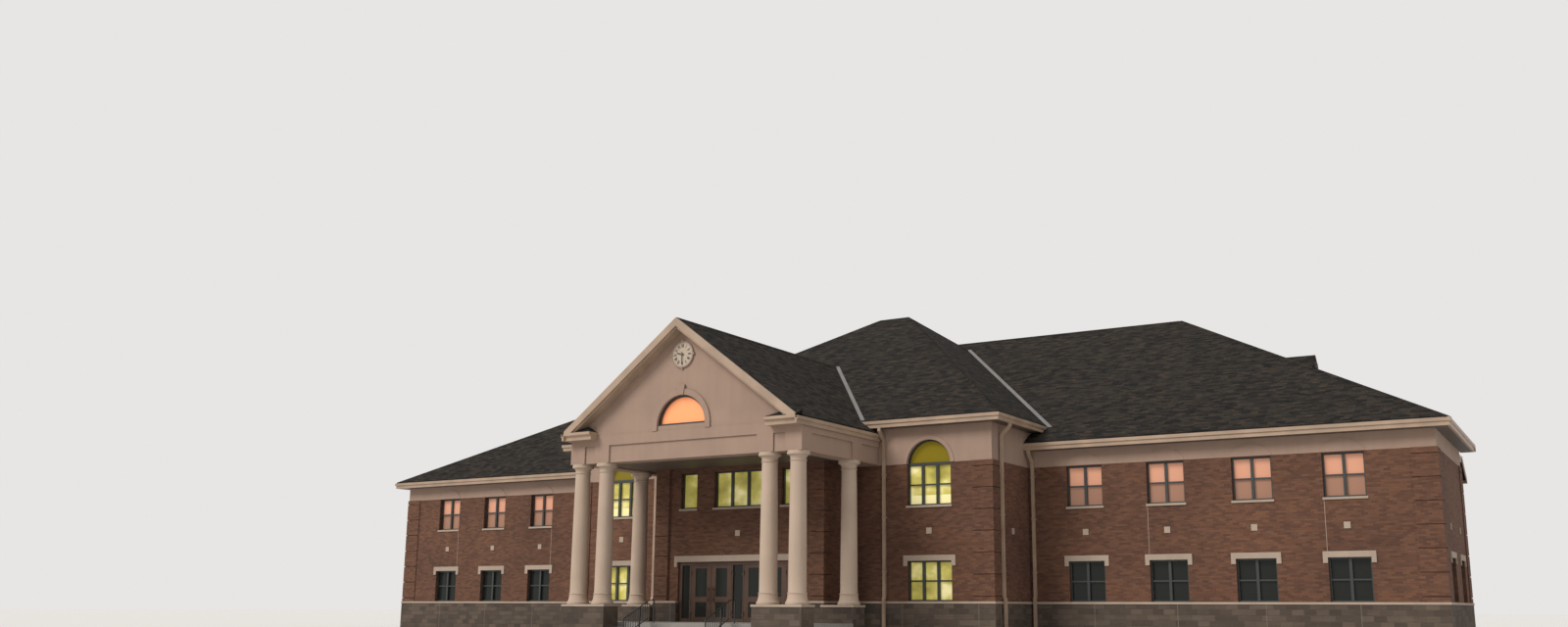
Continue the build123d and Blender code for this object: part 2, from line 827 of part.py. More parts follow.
with BuildPart() as portico_entablature:
    for x, y in ((inner_column_x, column_front), (portico_column_x, column_front),
                 (portico_column_x, column_rear)):
        block(x - block_half, x + block_half, y - block_half, y + block_half,
              entablature_bottom, band_bottom)
    for x_min, x_max in beam_ends:
        block(x_min, x_max, entablature_front + beam_recess, entablature_back,
              entablature_bottom, band_bottom)
    for y_min, y_max in side_beam_ends:
        block(portico_column_x - block_half, portico_half - beam_recess, y_min, y_max,
              entablature_bottom, band_bottom)
    block(portico_column_x - block_half, portico_half, entablature_back + joint, block_front,
          band_bottom + joint / 2, band_top)
    mirror(about=Plane.YZ)
    block(-portico_half, portico_half, entablature_front, entablature_back,
          band_bottom + joint / 2, band_top)
save(portico_entablature, "portico_entablature")

ceiling_board = 40
ceiling_half = portico_column_x - block_half

with BuildPart() as portico_ceiling:
    block(-ceiling_half, ceiling_half, entablature_back, block_front,
          vestibule_top, vestibule_top + ceiling_board)
save(portico_ceiling, "portico_ceiling")

# Gable wall with its fanlight
gable_wall_reach = 4510
gable_face = front - gable_wall_reach
gable_wall = 120
lunette_base = 3870
lunette_radius = 542
trim_radius = 652
trim_proud = 30
keystone_proud = 45
keystone_top = 4595
keystone_foot_half = 56
keystone_head_half = 84


def half_disc(radius, mode=Mode.ADD):
    """The upper half of a disc on the fanlight's base line."""
    with Locations((0, lunette_base)):
        Circle(radius, mode=mode)
    strip(-radius, radius, lunette_base - radius, lunette_base, Mode.SUBTRACT)


with BuildPart() as tympanum:
    with BuildSketch(front_plane(gable_face)):
        outline([(-portico_half, band_top), (portico_half, band_top),
                 (0, band_top + portico_slope * portico_half)])
        with Locations((0, lunette_base)):
            Circle(lunette_radius, mode=Mode.SUBTRACT)
        strip(-lunette_radius, lunette_radius, band_top, lunette_base)
    extrude(amount=-gable_wall)
save(tympanum, "tympanum")

with BuildPart() as lunette_trim:
    with BuildSketch(front_plane(gable_face)):
        half_disc(trim_radius)
        with Locations((0, lunette_base)):
            Circle(lunette_radius, mode=Mode.SUBTRACT)
        for inner, outer in ((lunette_radius, trim_radius), (-trim_radius, -lunette_radius)):
            strip(inner, outer, band_top, lunette_base)
    extrude(amount=trim_proud)
    with BuildSketch(front_plane(gable_face)):
        outline([(-keystone_foot_half, lunette_base + lunette_radius),
                 (keystone_foot_half, lunette_base + lunette_radius),
                 (keystone_head_half, keystone_top), (-keystone_head_half, keystone_top)])
    extrude(amount=keystone_proud)
save(lunette_trim, "lunette_trim")

lunette_setback = 30
lunette_member = 36

with BuildPart() as lunette_frame:
    with BuildSketch(front_plane(gable_face + lunette_setback)):
        half_disc(lunette_radius)
        with Locations((0, lunette_base)):
            Circle(lunette_radius - lunette_member, mode=Mode.SUBTRACT)
        strip(lunette_member - lunette_radius, lunette_radius - lunette_member,
              lunette_base, lunette_base + lunette_member)
    extrude(amount=-frame_depth)
save(lunette_frame, "lunette_frame")

# Portico roof, cut to sit on the block's front wall, eave and roof
wedge_rear = front + 1300

with BuildPart() as portico_roof:
    add(roof_slab([(joint / 2, gable_front + 2 * board), (portico_half, gable_front + 2 * board),
                   (portico_half, wedge_rear), (joint / 2, wedge_rear)], portico_top))
    mirror(about=Plane.YZ)
    with BuildSketch(side_plane(0)):
        outline([
            (block_front, 0), (block_front, block_eave_top - eave_depth),
            (block_slab_front, block_eave_top - eave_depth),
            (block_slab_front, block_eave_top + slope * gutter_width),
            (wedge_rear + 1, block_eave_top + slope * (wedge_rear + 1 - block_front + overhang)),
            (wedge_rear + 1, 0),
        ])
    extrude(amount=portico_half + 1, both=True, mode=Mode.SUBTRACT)
save(portico_roof, "portico_roof")

# Raking cornice and its returns
return_top = 3840
return_bottom = 3695
return_inner = 1960
return_step = 50
return_fillet = 65
return_face = 95
fascia_depth = 156
bed_depth = 199
cornice_foot = return_top + joint


def rake_x_at(height, drop):
    """Where a line a plumb distance under the portico roof reaches a height."""
    return (portico_apex - drop - height) / portico_slope


rake_start = joint / 2
rake_start_top = portico_apex - portico_slope * rake_start

with BuildPart() as raking_cornice:
    with BuildSketch(front_plane(gable_front + 2 * board)):
        outline([
            (rake_start, rake_start_top),
            (portico_half, portico_apex - portico_slope * portico_half),
            (portico_half, band_top + joint), (rake_x_at(cornice_foot, roof_depth), cornice_foot),
            (rake_x_at(cornice_foot, fascia_depth), cornice_foot),
            (rake_start, rake_start_top - fascia_depth),
        ])
    extrude(amount=2 * board)
    with BuildSketch(front_plane(gable_face)):
        outline([
            (rake_start, rake_start_top - roof_depth),
            (rake_x_at(cornice_foot, roof_depth), cornice_foot),
            (rake_x_at(cornice_foot, bed_depth), cornice_foot),
            (rake_start, rake_start_top - bed_depth),
        ])
    extrude(amount=gable_face - gable_front - 2 * board)
    mirror(about=Plane.YZ)
save(raking_cornice, "raking_cornice")

with BuildPart() as cornice_returns:
    with BuildSketch(side_plane(return_inner)):
        outline([
            (entablature_front, return_bottom), (gable_front + return_step, return_bottom),
            (gable_front + return_step, return_bottom + return_fillet),
            (gable_front, return_bottom + return_face),
            (gable_front, return_top), (gable_face, return_top), (gable_face, band_top),
            (entablature_front, band_top),
        ])
    extrude(amount=portico_half - return_inner)
    split(bisect_by=lowered(portico_top, roof_depth), keep=Keep.BOTTOM)
    mirror(about=Plane.YZ)
save(cornice_returns, "cornice_returns")

# Clock: a dial with its ring and four key blocks, and two hands on one spindle
clock_height = 5160
dial_radius = 228
clock_ring = 250
dial_proud = 20
ring_proud = 30
key_block = 44
key_proud = 36
spindle_radius = 7
hand_fit = 0.05
hub_radius = 17
hand_thickness = 6
hour_gap = 8
minute_gap = 5
dial_face = gable_face - dial_proud
hour_back = dial_face - hour_gap
minute_back = hour_back - hand_thickness - minute_gap
spindle_end = minute_back - hand_thickness - 4

with BuildPart() as clock_dial:
    with BuildSketch(front_plane(gable_face)):
        with Locations((0, clock_height)):
            Circle(dial_radius)
    extrude(amount=dial_proud)
    with BuildSketch(front_plane(gable_face)):
        with Locations((0, clock_height)):
            Circle(clock_ring)
            Circle(dial_radius, mode=Mode.SUBTRACT)
    extrude(amount=ring_proud)
    with BuildSketch(front_plane(gable_face)):
        with Locations((0, clock_height)):
            with PolarLocations(clock_ring, 4):
                Rectangle(key_block, key_block)
            Circle(dial_radius, mode=Mode.SUBTRACT)
    extrude(amount=key_proud)
    with BuildSketch(front_plane(dial_face)):
        with Locations((0, clock_height)):
            Circle(spindle_radius)
    extrude(amount=dial_face - spindle_end)
save(clock_dial, "clock_dial")


def clock_hand(back, length, tail, width, clockwise):
    """A tapered hand on the spindle, turned clockwise from twelve."""
    with BuildPart() as hand:
        with BuildSketch(front_plane(back)):
            with Locations(Location((0, clock_height), -clockwise)):
                outline([(-width / 2, -tail), (width / 2, -tail), (width / 2, length - width),
                         (0, length), (-width / 2, length - width)])
            with Locations((0, clock_height)):
                Circle(hub_radius)
                Circle(spindle_radius + hand_fit, mode=Mode.SUBTRACT)
        extrude(amount=hand_thickness)
    return hand


clock_hour_hand = clock_hand(hour_back, length=128, tail=36, width=18, clockwise=285)
save(clock_hour_hand, "clock_hour_hand")
clock_minute_hand = clock_hand(minute_back, length=188, tail=46, width=12, clockwise=180)
save(clock_minute_hand, "clock_minute_hand")


# Window frames, with one pane behind each
def lights(centre, width, bottom, top, columns, shares=None):
    """A frame's outline with its lights cut out, in the sketch of its plane."""
    strip(centre - width / 2, centre + width / 2, bottom, top)
    clear = width - 2 * frame_member - (columns - 1) * mullion
    left = centre - width / 2 + frame_member
    for share in shares or [1 / columns] * columns:
        strip(left, left + clear * share, bottom + frame_member, top - frame_member,
              Mode.SUBTRACT)
        left += clear * share + mullion


def frame_row(plane, centres, width, bottom, top, columns=2):
    """The frames of one row of windows, set back from the wall's face."""
    with BuildPart() as row:
        with BuildSketch(plane.offset(-frame_setback)):
            for centre in centres:
                lights(centre, width, bottom, top, columns)
        extrude(amount=-frame_depth)
    return row.part


def pane_row(plane, centres, width, bottom, top):
    """The glass of one row of windows, behind the frames."""
    with BuildPart() as row:
        with BuildSketch(plane.offset(-frame_setback - frame_depth)):
            for centre in centres:
                strip(centre - width / 2 + pane_margin, centre + width / 2 - pane_margin,
                      bottom + pane_margin, top - pane_margin)
        extrude(amount=-pane)
    return row.part


def arched_frame():
    """The block's upper window: three sashes under a round-headed light."""
    with BuildPart() as frame:
        with BuildSketch(front_plane(block_front + frame_setback)):
            arched_window(triple_centre, Mode.ADD)
            with Locations((triple_centre, springing)):
                Circle(triple_window / 2 - frame_member, mode=Mode.SUBTRACT)
            strip(triple_centre - triple_window / 2 + frame_member,
                  triple_centre + triple_window / 2 - frame_member,
                  triple_sill, springing + frame_member)
            clear = (triple_window - 2 * frame_member - 2 * mullion) / 3
            for column in range(3):
                left = triple_centre - triple_window / 2 + frame_member
                left += column * (clear + mullion)
                strip(left, left + clear, triple_sill + frame_member, springing - frame_member,
                      Mode.SUBTRACT)
        extrude(amount=-frame_depth)
    return frame.part


def arched_pane():
    """The glass behind the round-headed window."""
    with BuildPart() as glass:
        with BuildSketch(front_plane(block_front + frame_setback + frame_depth)):
            strip(triple_centre - triple_window / 2 + pane_margin,
                  triple_centre + triple_window / 2 - pane_margin,
                  triple_sill + pane_margin, springing)
            with Locations((triple_centre, springing)):
                Circle(triple_window / 2 - pane_margin)
        extrude(amount=-pane)
    return glass.part


rear_right = [-x for x in rear_windows]
lower_rows = [
    (front_plane(front), wing_windows), (side_plane(half_length), end_windows),
    (side_plane(side_face), side_windows), (rear_plane(rear), rear_right),
]
upper_rows = [
    (front_plane(front), wing_windows), (side_plane(side_face), side_windows),
    (rear_plane(rear), rear_right),
]

with BuildPart() as ground_floor_window_frames:
    for plane, centres in lower_rows:
        add(frame_row(plane, centres, window, cap_top, lower_head))
    add(frame_row(front_plane(block_front), [triple_centre], triple_window, cap_top,
                  triple_head, 3))
    mirror(about=Plane.YZ)
save(ground_floor_window_frames, "ground_floor_window_frames")

with BuildPart() as ground_floor_glass:
    for plane, centres in lower_rows:
        add(pane_row(plane, centres, window, cap_top, lower_head))
    add(pane_row(front_plane(block_front), [triple_centre], triple_window, cap_top, triple_head))
    mirror(about=Plane.YZ)
save(ground_floor_glass, "ground_floor_glass")

vestibule_plane = front_plane(vestibule_wall)

with BuildPart() as upper_floor_window_frames:
    for plane, centres in upper_rows:
        add(frame_row(plane, centres, window, upper_sill, upper_head))
    add(arched_frame())
    add(frame_row(vestibule_plane, [side_light_centre], side_light, vestibule_sill,
                  vestibule_head, 1))
    mirror(about=Plane.YZ)
    add(frame_row(vestibule_plane, [0], middle_light, vestibule_sill, vestibule_head, 3))
save(upper_floor_window_frames, "upper_floor_window_frames")

with BuildPart() as upper_floor_glass:
    for plane, centres in upper_rows:
        add(pane_row(plane, centres, window, upper_sill, upper_head))
    add(arched_pane())
    add(pane_row(vestibule_plane, [side_light_centre], side_light, vestibule_sill,
                 vestibule_head))
    mirror(about=Plane.YZ)
    add(pane_row(vestibule_plane, [0], middle_light, vestibule_sill, vestibule_head))
    with BuildSketch(front_plane(gable_face + lunette_setback + frame_depth)):
        half_disc(lunette_radius - pane_margin)
    extrude(amount=-pane)
save(upper_floor_glass, "upper_floor_glass")

# Stone sills under the upper windows
with BuildPart() as window_sills:
    sill_rows = [(plane, centres, window, upper_sill) for plane, centres in upper_rows]
    sill_rows += [
        (front_plane(block_front), [triple_centre], triple_window, triple_sill),
        (vestibule_plane, [side_light_centre], side_light, vestibule_sill),
    ]
    for plane, centres, width, top in sill_rows:
        with BuildSketch(plane):
            for centre in centres:
                strip(centre - width / 2 - sill_ear, centre + width / 2 + sill_ear,
                      top - sill_height, top)
        extrude(amount=base_proud)
    mirror(about=Plane.YZ)
    with BuildSketch(vestibule_plane):
        strip(-middle_light / 2 - sill_ear, middle_light / 2 + sill_ear,
              vestibule_sill - sill_height, vestibule_sill)
    extrude(amount=base_proud)
save(window_sills, "window_sills")

# Stone hoods over the lower windows and the entrance, and the square accents above them
entrance_hood_half = 1480
entrance_hood_leg = 64
entrance_hood_foot = 1376
entrance_hood_top = 1587
entrance_hood_proud = 25


def hood(centre, width, head):
    """A hood over a window head, with a leg down each side."""
    half = width / 2
    strip(centre - half - hood_overlap, centre + half + hood_overlap, head - hood_drop,
          head + hood_height)
    strip(centre - half, centre + half, head - hood_drop, head, Mode.SUBTRACT)


def accent(centre, middle=accent_middle):
    """A square stone accent."""
    strip(centre - accent_width / 2, centre + accent_width / 2,
          middle - accent_height / 2, middle + accent_height / 2)


with BuildPart() as window_hoods:
    for plane, centres in lower_rows:
        with BuildSketch(plane):
            for centre in centres:
                hood(centre, window, lower_head)
        extrude(amount=hood_proud)
        with BuildSketch(plane):
            for centre in centres:
                accent(centre)
        extrude(amount=accent_proud)
    with BuildSketch(front_plane(block_front)):
        hood(triple_centre, triple_window, triple_head)
    extrude(amount=hood_proud)
    with BuildSketch(front_plane(block_front)):
        accent(triple_centre)
    extrude(amount=accent_proud)
    with BuildSketch(side_plane(half_block)):
        accent(front - side_accent_reach)
    extrude(amount=accent_proud)
    mirror(about=Plane.YZ)
    with BuildSketch(vestibule_plane):
        strip(-entrance_hood_half, entrance_hood_half, entrance_hood_foot, entrance_hood_top)
        strip(entrance_hood_leg - entrance_hood_half, entrance_hood_half - entrance_hood_leg,
              entrance_hood_foot, door_head, Mode.SUBTRACT)
    extrude(amount=entrance_hood_proud)
    with BuildSketch(vestibule_plane):
        accent(0)
    extrude(amount=accent_proud)
save(window_hoods, "window_hoods")

# Entrance: fixed frame, two pairs of leaves that open outwards
door_face = vestibule_wall + 30
frame_thickness = 60
centre_half = 140
centre_glass_half = 115
pair_outer = 1095
sidelight_inner = 1134
sidelight_outer = 1312
head_rail = 1405
frame_rail = 64
leaf_gap = 5
meeting_gap = 8
leaf_foot = floor_top + 6
leaf_head = head_rail - leaf_gap
leaf_thickness = 22
leaf_width = (pair_outer - centre_half - 2 * leaf_gap - meeting_gap) / 2
stile = 103
bottom_rail = 86
middle_rail_foot = 704
middle_rail_head = 803
top_rail = 57
glazing_depth = 8

pin_radius = 4
pin_fit = 0.05
barrel_radius = 8
knuckle = 40
knuckle_gap = 0.5
axis_gap = 10
plate = 3
plate_reach = 40
hinge_inset = 150
hinge_y = door_face - axis_gap
hinge_heights = (leaf_foot + hinge_inset, leaf_head - hinge_inset)
axis_offset = leaf_gap / 2


def barrel(x, z_min, z_max, radius, mode=Mode.ADD):
    """A round length on a hinge's axis."""
    with Locations((x, hinge_y, (z_min + z_max) / 2)):
        Cylinder(radius, z_max - z_min, mode=mode)


def hinge_on_frame(x, z, towards):
    """The lower knuckle with its pin and plate, on the frame's face."""
    barrel(x, z - knuckle, z - knuckle_gap, barrel_radius)
    barrel(x, z - knuckle, z + knuckle, pin_radius)
    x_min, x_max = sorted((x, x - towards * plate_reach))
    block(x_min, x_max, door_face - plate, door_face, z - knuckle, z - knuckle_gap)


def hinge_on_leaf(x, z, towards):
    """The upper knuckle that turns on the pin, and its plate on the leaf's face."""
    barrel(x, z, z + knuckle, barrel_radius)
    x_min, x_max = sorted((x, x + towards * plate_reach))
    block(x_min, x_max, door_face - plate, door_face, z, z + knuckle)
    barrel(x, z, z + knuckle, pin_radius + pin_fit, Mode.SUBTRACT)


inner_axis = centre_half + axis_offset
outer_axis = pair_outer - axis_offset

with BuildPart() as entrance_frame:
    with BuildSketch(front_plane(door_face)):
        strip(joint / 2, door_frame_half, floor_top, door_head)
        strip(joint / 2, centre_glass_half, floor_top + frame_rail, head_rail, Mode.SUBTRACT)
        strip(centre_half, pair_outer, floor_top, head_rail, Mode.SUBTRACT)
        strip(sidelight_inner, sidelight_outer, floor_top + frame_rail, head_rail, Mode.SUBTRACT)
    extrude(amount=-frame_thickness)
    for z in hinge_heights:
        hinge_on_frame(inner_axis, z, 1)
        hinge_on_frame(outer_axis, z, -1)
    mirror(about=Plane.YZ)
    with BuildSketch(front_plane(door_face)):
        strip(-joint / 2, joint / 2, floor_top, floor_top + frame_rail)
        strip(-joint / 2, joint / 2, head_rail, door_head)
    extrude(amount=-frame_thickness)
save(entrance_frame, "entrance_frame")

with BuildPart() as entrance_glass:
    with BuildSketch(front_plane(door_face + frame_thickness / 2)):
        strip(-centre_glass_half, centre_glass_half, floor_top + frame_rail, head_rail)
        strip(sidelight_inner, sidelight_outer, floor_top + frame_rail, head_rail)
        strip(-sidelight_outer, -sidelight_inner, floor_top + frame_rail, head_rail)
    extrude(amount=-pane)
save(entrance_glass, "entrance_glass")

pull_length = 300
pull_radius = 7
pull_reach = 45
pull_middle = 850


def leaf_lights(hinge_x, towards, mode=Mode.ADD):
    """The two panes of a leaf, in the elevation."""
    near = hinge_x + towards * (axis_offset + stile)
    far = hinge_x + towards * (axis_offset + leaf_width - stile)
    left, right = sorted((near, far))
    strip(left, right, leaf_foot + bottom_rail, middle_rail_foot, mode)
    strip(left, right, middle_rail_head, leaf_head - top_rail, mode)


def door_leaf(hinge_x, towards):
    """One leaf, its hinge barrels and its pull bar. It lies towards one side of its axis."""
    near = hinge_x + towards * axis_offset
    far = near + towards * leaf_width
    left, right = sorted((near, far))
    with BuildPart() as leaf:
        with BuildSketch(front_plane(door_face)):
            strip(left, right, leaf_foot, leaf_head)
            leaf_lights(hinge_x, towards, Mode.SUBTRACT)
        extrude(amount=-leaf_thickness)
        for z in hinge_heights:
            hinge_on_leaf(hinge_x, z, towards)
        pull_x = far - towards * stile / 2
        pull_y = door_face - pull_reach
        block(pull_x - pull_radius, pull_x + pull_radius, pull_y - pull_radius,
              pull_y + pull_radius, pull_middle - pull_length / 2, pull_middle + pull_length / 2)
        for z in (pull_middle - pull_length / 3, pull_middle + pull_length / 3):
            block(pull_x - pull_radius / 2, pull_x + pull_radius / 2, pull_y, door_face,
                  z - pull_radius, z + pull_radius)
    return leaf


def leaf_glass(hinge_x, towards):
    """The panes of a leaf."""
    with BuildPart() as glass:
        with BuildSketch(front_plane(door_face + glazing_depth)):
            leaf_lights(hinge_x, towards)
        extrude(amount=-pane)
    return glass


doors = {
    "left_outer": (-outer_axis, 1), "left_inner": (-inner_axis, -1),
    "right_inner": (inner_axis, 1), "right_outer": (outer_axis, -1),
}
for name, (hinge_x, towards) in doors.items():
    save(door_leaf(hinge_x, towards), f"{name}_door")
    save(leaf_glass(hinge_x, towards), f"{name}_door_glass")

# Handrails up the steps
rail_x = 900
rail_width = 24
rail_thickness = 14
rail_rise = riser / tread
rail_height = 410
rail_foot = front - rail_reach
rail_landing = 150
post = 20


def rail_top(y):
    """The height of the handrail's top over a point of the flight."""
    return min(floor_top + rail_height, floor_top + rail_height + rail_rise * (y - platform_front))


def ground_under(y):
    """The height of the step under a point of the flight."""
    passed = [k for k in range(1, 5) if y >= platform_front - (4 - k) * tread]
    return riser * len(passed)


with BuildPart() as handrails:
    landing = platform_front + rail_landing
    with BuildSketch(side_plane(rail_x)):
        outline([(rail_foot, rail_top(rail_foot)), (platform_front, rail_top(platform_front)),
                 (landing, rail_top(landing)), (landing, rail_top(landing) - rail_thickness),
                 (platform_front, rail_top(platform_front) - rail_thickness),
                 (rail_foot, rail_top(rail_foot) - rail_thickness)])
    extrude(amount=rail_width / 2, both=True)
    for y in (rail_foot + post / 2, platform_front - 1.5 * tread, landing - post / 2):
        block(rail_x - post / 2, rail_x + post / 2, y - post / 2, y + post / 2,
              ground_under(y), rail_top(y - post / 2) - rail_thickness / 2)
    mirror(about=Plane.YZ)
save(handrails, "handrails")
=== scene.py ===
"""The looks of a two-storey town hall: its finishes, the small pieces that repeat, light and camera."""
import json
import logging
from abc import ABC, abstractmethod
from dataclasses import dataclass
from enum import Enum
from math import atan2, cos, hypot, pi, radians, sin, tau

import bmesh
import bpy
from bpy.types import ID, Material, Mesh, NodeSocket, NodeTree, Object
from mathutils import Euler, Matrix, Vector


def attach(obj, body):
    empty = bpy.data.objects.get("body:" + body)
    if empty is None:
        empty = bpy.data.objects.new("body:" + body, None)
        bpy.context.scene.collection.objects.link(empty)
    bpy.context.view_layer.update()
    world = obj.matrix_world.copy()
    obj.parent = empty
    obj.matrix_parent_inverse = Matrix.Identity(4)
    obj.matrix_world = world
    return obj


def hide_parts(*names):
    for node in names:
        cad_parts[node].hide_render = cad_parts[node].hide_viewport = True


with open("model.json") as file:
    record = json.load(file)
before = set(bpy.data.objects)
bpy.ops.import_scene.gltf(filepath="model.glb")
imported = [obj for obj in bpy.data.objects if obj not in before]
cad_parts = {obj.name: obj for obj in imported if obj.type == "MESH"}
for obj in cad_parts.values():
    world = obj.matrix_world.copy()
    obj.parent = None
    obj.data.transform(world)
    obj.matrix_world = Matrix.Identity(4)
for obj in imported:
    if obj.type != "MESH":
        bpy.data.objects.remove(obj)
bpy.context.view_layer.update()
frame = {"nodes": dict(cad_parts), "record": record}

log = logging.getLogger("town_hall")

Colour = tuple[float, float, float]
Point = tuple[float, float, float]
Spot = tuple[float, float]

# Where the walls, floors and roofs lie, in metres, as in the building's solids
FRONT = -3.094
REAR = FRONT + 10.798
BLOCK_REACH = 1.724
BLOCK_FRONT = FRONT - BLOCK_REACH
VESTIBULE_FRONT = FRONT - 2.684
PLATFORM_REACH = 4.147
GABLE_FRONT = FRONT - 4.76
GABLE_FACE = FRONT - 4.51
END_REAR = FRONT + 3.85
HALF_LENGTH = 12.051
SIDE_FACE = HALF_LENGTH - 0.765
HALF_BLOCK = 4.887
WALL = 0.175
OVERHANG = 0.267
CAP_TOP = 0.725
FLOOR_TOP = 0.328
BRICK_TOP = 3.245
VESTIBULE_TOP = 3.286
EAVE_TOP = 3.684
BLOCK_EAVE_TOP = 4.061
CLOCK_HEIGHT = 5.16

# Left and right of the middle
SIDES = (-1, 1)

# How fast the roofs rise, and how far back from the wing's front their ridges lie
SLOPE = 0.5833
END_SLOPE = 0.566
BLOCK_SIDE_SLOPE = 0.7067
PORTICO_SLOPE = 0.75
RIDGE_REACH = 5.399
BLOCK_RIDGE_REACH = 3.785
PORTICO_APEX = 5.816
PORTICO_HALF = 2.594

# The rows of windows: the middle of the wing's first one, and the heights of the meeting rails
PITCH = 1.53
FIRST_WINDOW = 5.992
LOWER_RAIL = 1.096
UPPER_RAIL = 2.853


class Slot(Enum):
    """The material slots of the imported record."""

    BRICK = "brick"
    SPLIT_STONE = "split_stone"
    LIMESTONE = "limestone"
    STUCCO = "stucco"
    CAST_STONE = "cast_stone"
    CONCRETE = "concrete"
    SHINGLES = "shingles"
    EAVE_PAINT = "eave_paint"
    SOFFIT_PAINT = "soffit_paint"
    FLASHING = "flashing"
    WINDOW_FRAME = "window_frame"
    WINDOW_GLASS = "window_glass"
    DOOR_FRAME = "door_frame"
    RAIL_METAL = "rail_metal"
    CLOCK_FACE = "clock_face"
    CLOCK_HANDS = "clock_hands"


class Wire:
    """A socket that carries a value, for expressions that add Math nodes."""

    def __init__(self, graph: "Graph", socket: NodeSocket | None) -> None:
        """Keep the graph that the socket's node stands in."""
        self.graph = graph
        self.socket = socket

    def other(self, output: int | str) -> "Wire":
        """Another output of the same node."""
        return Wire(self.graph, self.socket.node.outputs[output])

    def _math(self, operation: str, *values: "Wire | float") -> "Wire":
        """The value of one Math node."""
        return self.graph.node("ShaderNodeMath", {"operation": operation}, dict(enumerate(values)))

    def __add__(self, other: "Wire | float") -> "Wire":
        """The sum."""
        return self._math("ADD", self, other)

    __radd__ = __add__

    def __sub__(self, other: "Wire | float") -> "Wire":
        """The difference."""
        return self._math("SUBTRACT", self, other)

    def __rsub__(self, other: "Wire | float") -> "Wire":
        """The difference from another value."""
        return self._math("SUBTRACT", other, self)

    def __mul__(self, other: "Wire | float") -> "Wire":
        """The product."""
        return self._math("MULTIPLY", self, other)

    __rmul__ = __mul__

    def __truediv__(self, other: "Wire | float") -> "Wire":
        """The quotient."""
        return self._math("DIVIDE", self, other)

    def __mod__(self, other: "Wire | float") -> "Wire":
        """What is left over, never negative."""
        return self._math("FLOORED_MODULO", self, other)

    def __abs__(self) -> "Wire":
        """The size without its sign."""
        return self._math("ABSOLUTE", self)

    def __gt__(self, other: "Wire | float") -> "Wire":
        """1 where greater, else 0."""
        return self._math("GREATER_THAN", self, other)

    def __lt__(self, other: "Wire | float") -> "Wire":
        """1 where less, else 0."""
        return self._math("LESS_THAN", self, other)

    def __or__(self, other: "Wire") -> "Wire":
        """1 where either mask is 1."""
        return self._math("MAXIMUM", self, other)


class Graph:
    """A node tree of a material, of the world or of Geometry Nodes."""

    def __init__(self, tree: NodeTree) -> None:
        """Start with an empty tree."""
        self.tree = tree
        tree.nodes.clear()

    def node(self, kind: str, settings: dict[str, object] | None = None,
             values: dict[int | str, object] | None = None, output: int | str = 0) -> Wire:
        """Add a node.

        Args:
            kind: The node's type.
            settings: Its properties, or a ramp's stops, which are set first.
            values: Numbers, colours or wires for its sockets.
            output: The output that the wire comes from.

        Returns:
            A wire from that output, or an empty one where the tree ends.
        """
        node = self.tree.nodes.new(kind)
        for key, value in (settings or {}).items():
            if key == "stops":
                elements = node.color_ramp.elements
                for index, (place, colour) in enumerate(value):
                    stop = elements[index] if index < 2 else elements.new(place)
                    stop.position, stop.color = place, (*colour, 1)
            else:
                setattr(node, key, value)
        for key, value in (values or {}).items():
            if isinstance(value, Wire):
                self.tree.links.new(value.socket, node.inputs[key])
            else:
                node.inputs[key].default_value = value
        return Wire(self, node.outputs[output] if node.outputs else None)

    def ramp(self, factor: Wire, stops: list[tuple[float, Colour]]) -> Wire:
        """A colour ramp over the factor."""
        return self.node("ShaderNodeValToRGB", {"stops": stops}, {0: factor})

    def mix(self, factor: Wire | float, a: Wire | Colour, b: Wire | Colour,
            blend: str = "MIX") -> Wire:
        """Two colours mixed by a factor."""
        first, second = (c if isinstance(c, Wire) else (*c, 1) for c in (a, b))
        return self.node("ShaderNodeMix", {"data_type": "RGBA", "blend_type": blend},
                         {0: factor, 6: first, 7: second}, 2)

    def parts(self, vector: Wire) -> tuple[Wire, Wire, Wire]:
        """A vector's three numbers."""
        first = self.node("ShaderNodeSeparateXYZ", {}, {0: vector})
        return first, first.other(1), first.other(2)

    def place(self) -> tuple[Wire, Wire, Wire]:
        """The point on the object, along X, Y and Z."""
        return self.parts(self.node("ShaderNodeTexCoord", output="Object"))

    def vector(self, x: Wire | float, y: Wire | float, z: Wire | float) -> Wire:
        """A vector of three numbers."""
        return self.node("ShaderNodeCombineXYZ", {}, {0: x, 1: y, 2: z})

    def noise(self, scale: float, vector: Wire | None = None, detail: float = 3) -> Wire:
        """Noise at so many waves a metre."""
        where = vector or self.node("ShaderNodeTexCoord", output="Object")
        return self.node("ShaderNodeTexNoise", {}, {"Vector": where, "Scale": scale,
                                                    "Detail": detail})

    def elevation(self) -> tuple[Wire, Wire]:
        """Measure a wall or a slope, whichever way it faces.

        Returns:
            How far along it a point lies, and how high.
        """
        x, y, z = self.place()
        nx, ny, _ = self.parts(self.node("ShaderNodeTexCoord", output="Normal"))
        side = abs(nx) > abs(ny)
        return x * (1 - side) + y * side, z

    def lines(self, across: Wire, spacing: float, half_width: float) -> Wire:
        """1 on upright lines at a spacing, else 0."""
        return abs((across % spacing) - spacing / 2) > spacing / 2 - half_width


def new_material(name: str) -> tuple[Material, Graph]:
    """Make a material.

    Args:
        name: Its name.

    Returns:
        The material and its empty tree.
    """
    material = bpy.data.materials.new(name)
    material.use_nodes = True
    return material, Graph(material.node_tree)


def shade(colour: Colour, factor: float) -> Colour:
    """A colour made lighter or darker."""
    return tuple(min(1.0, part * factor) for part in colour)


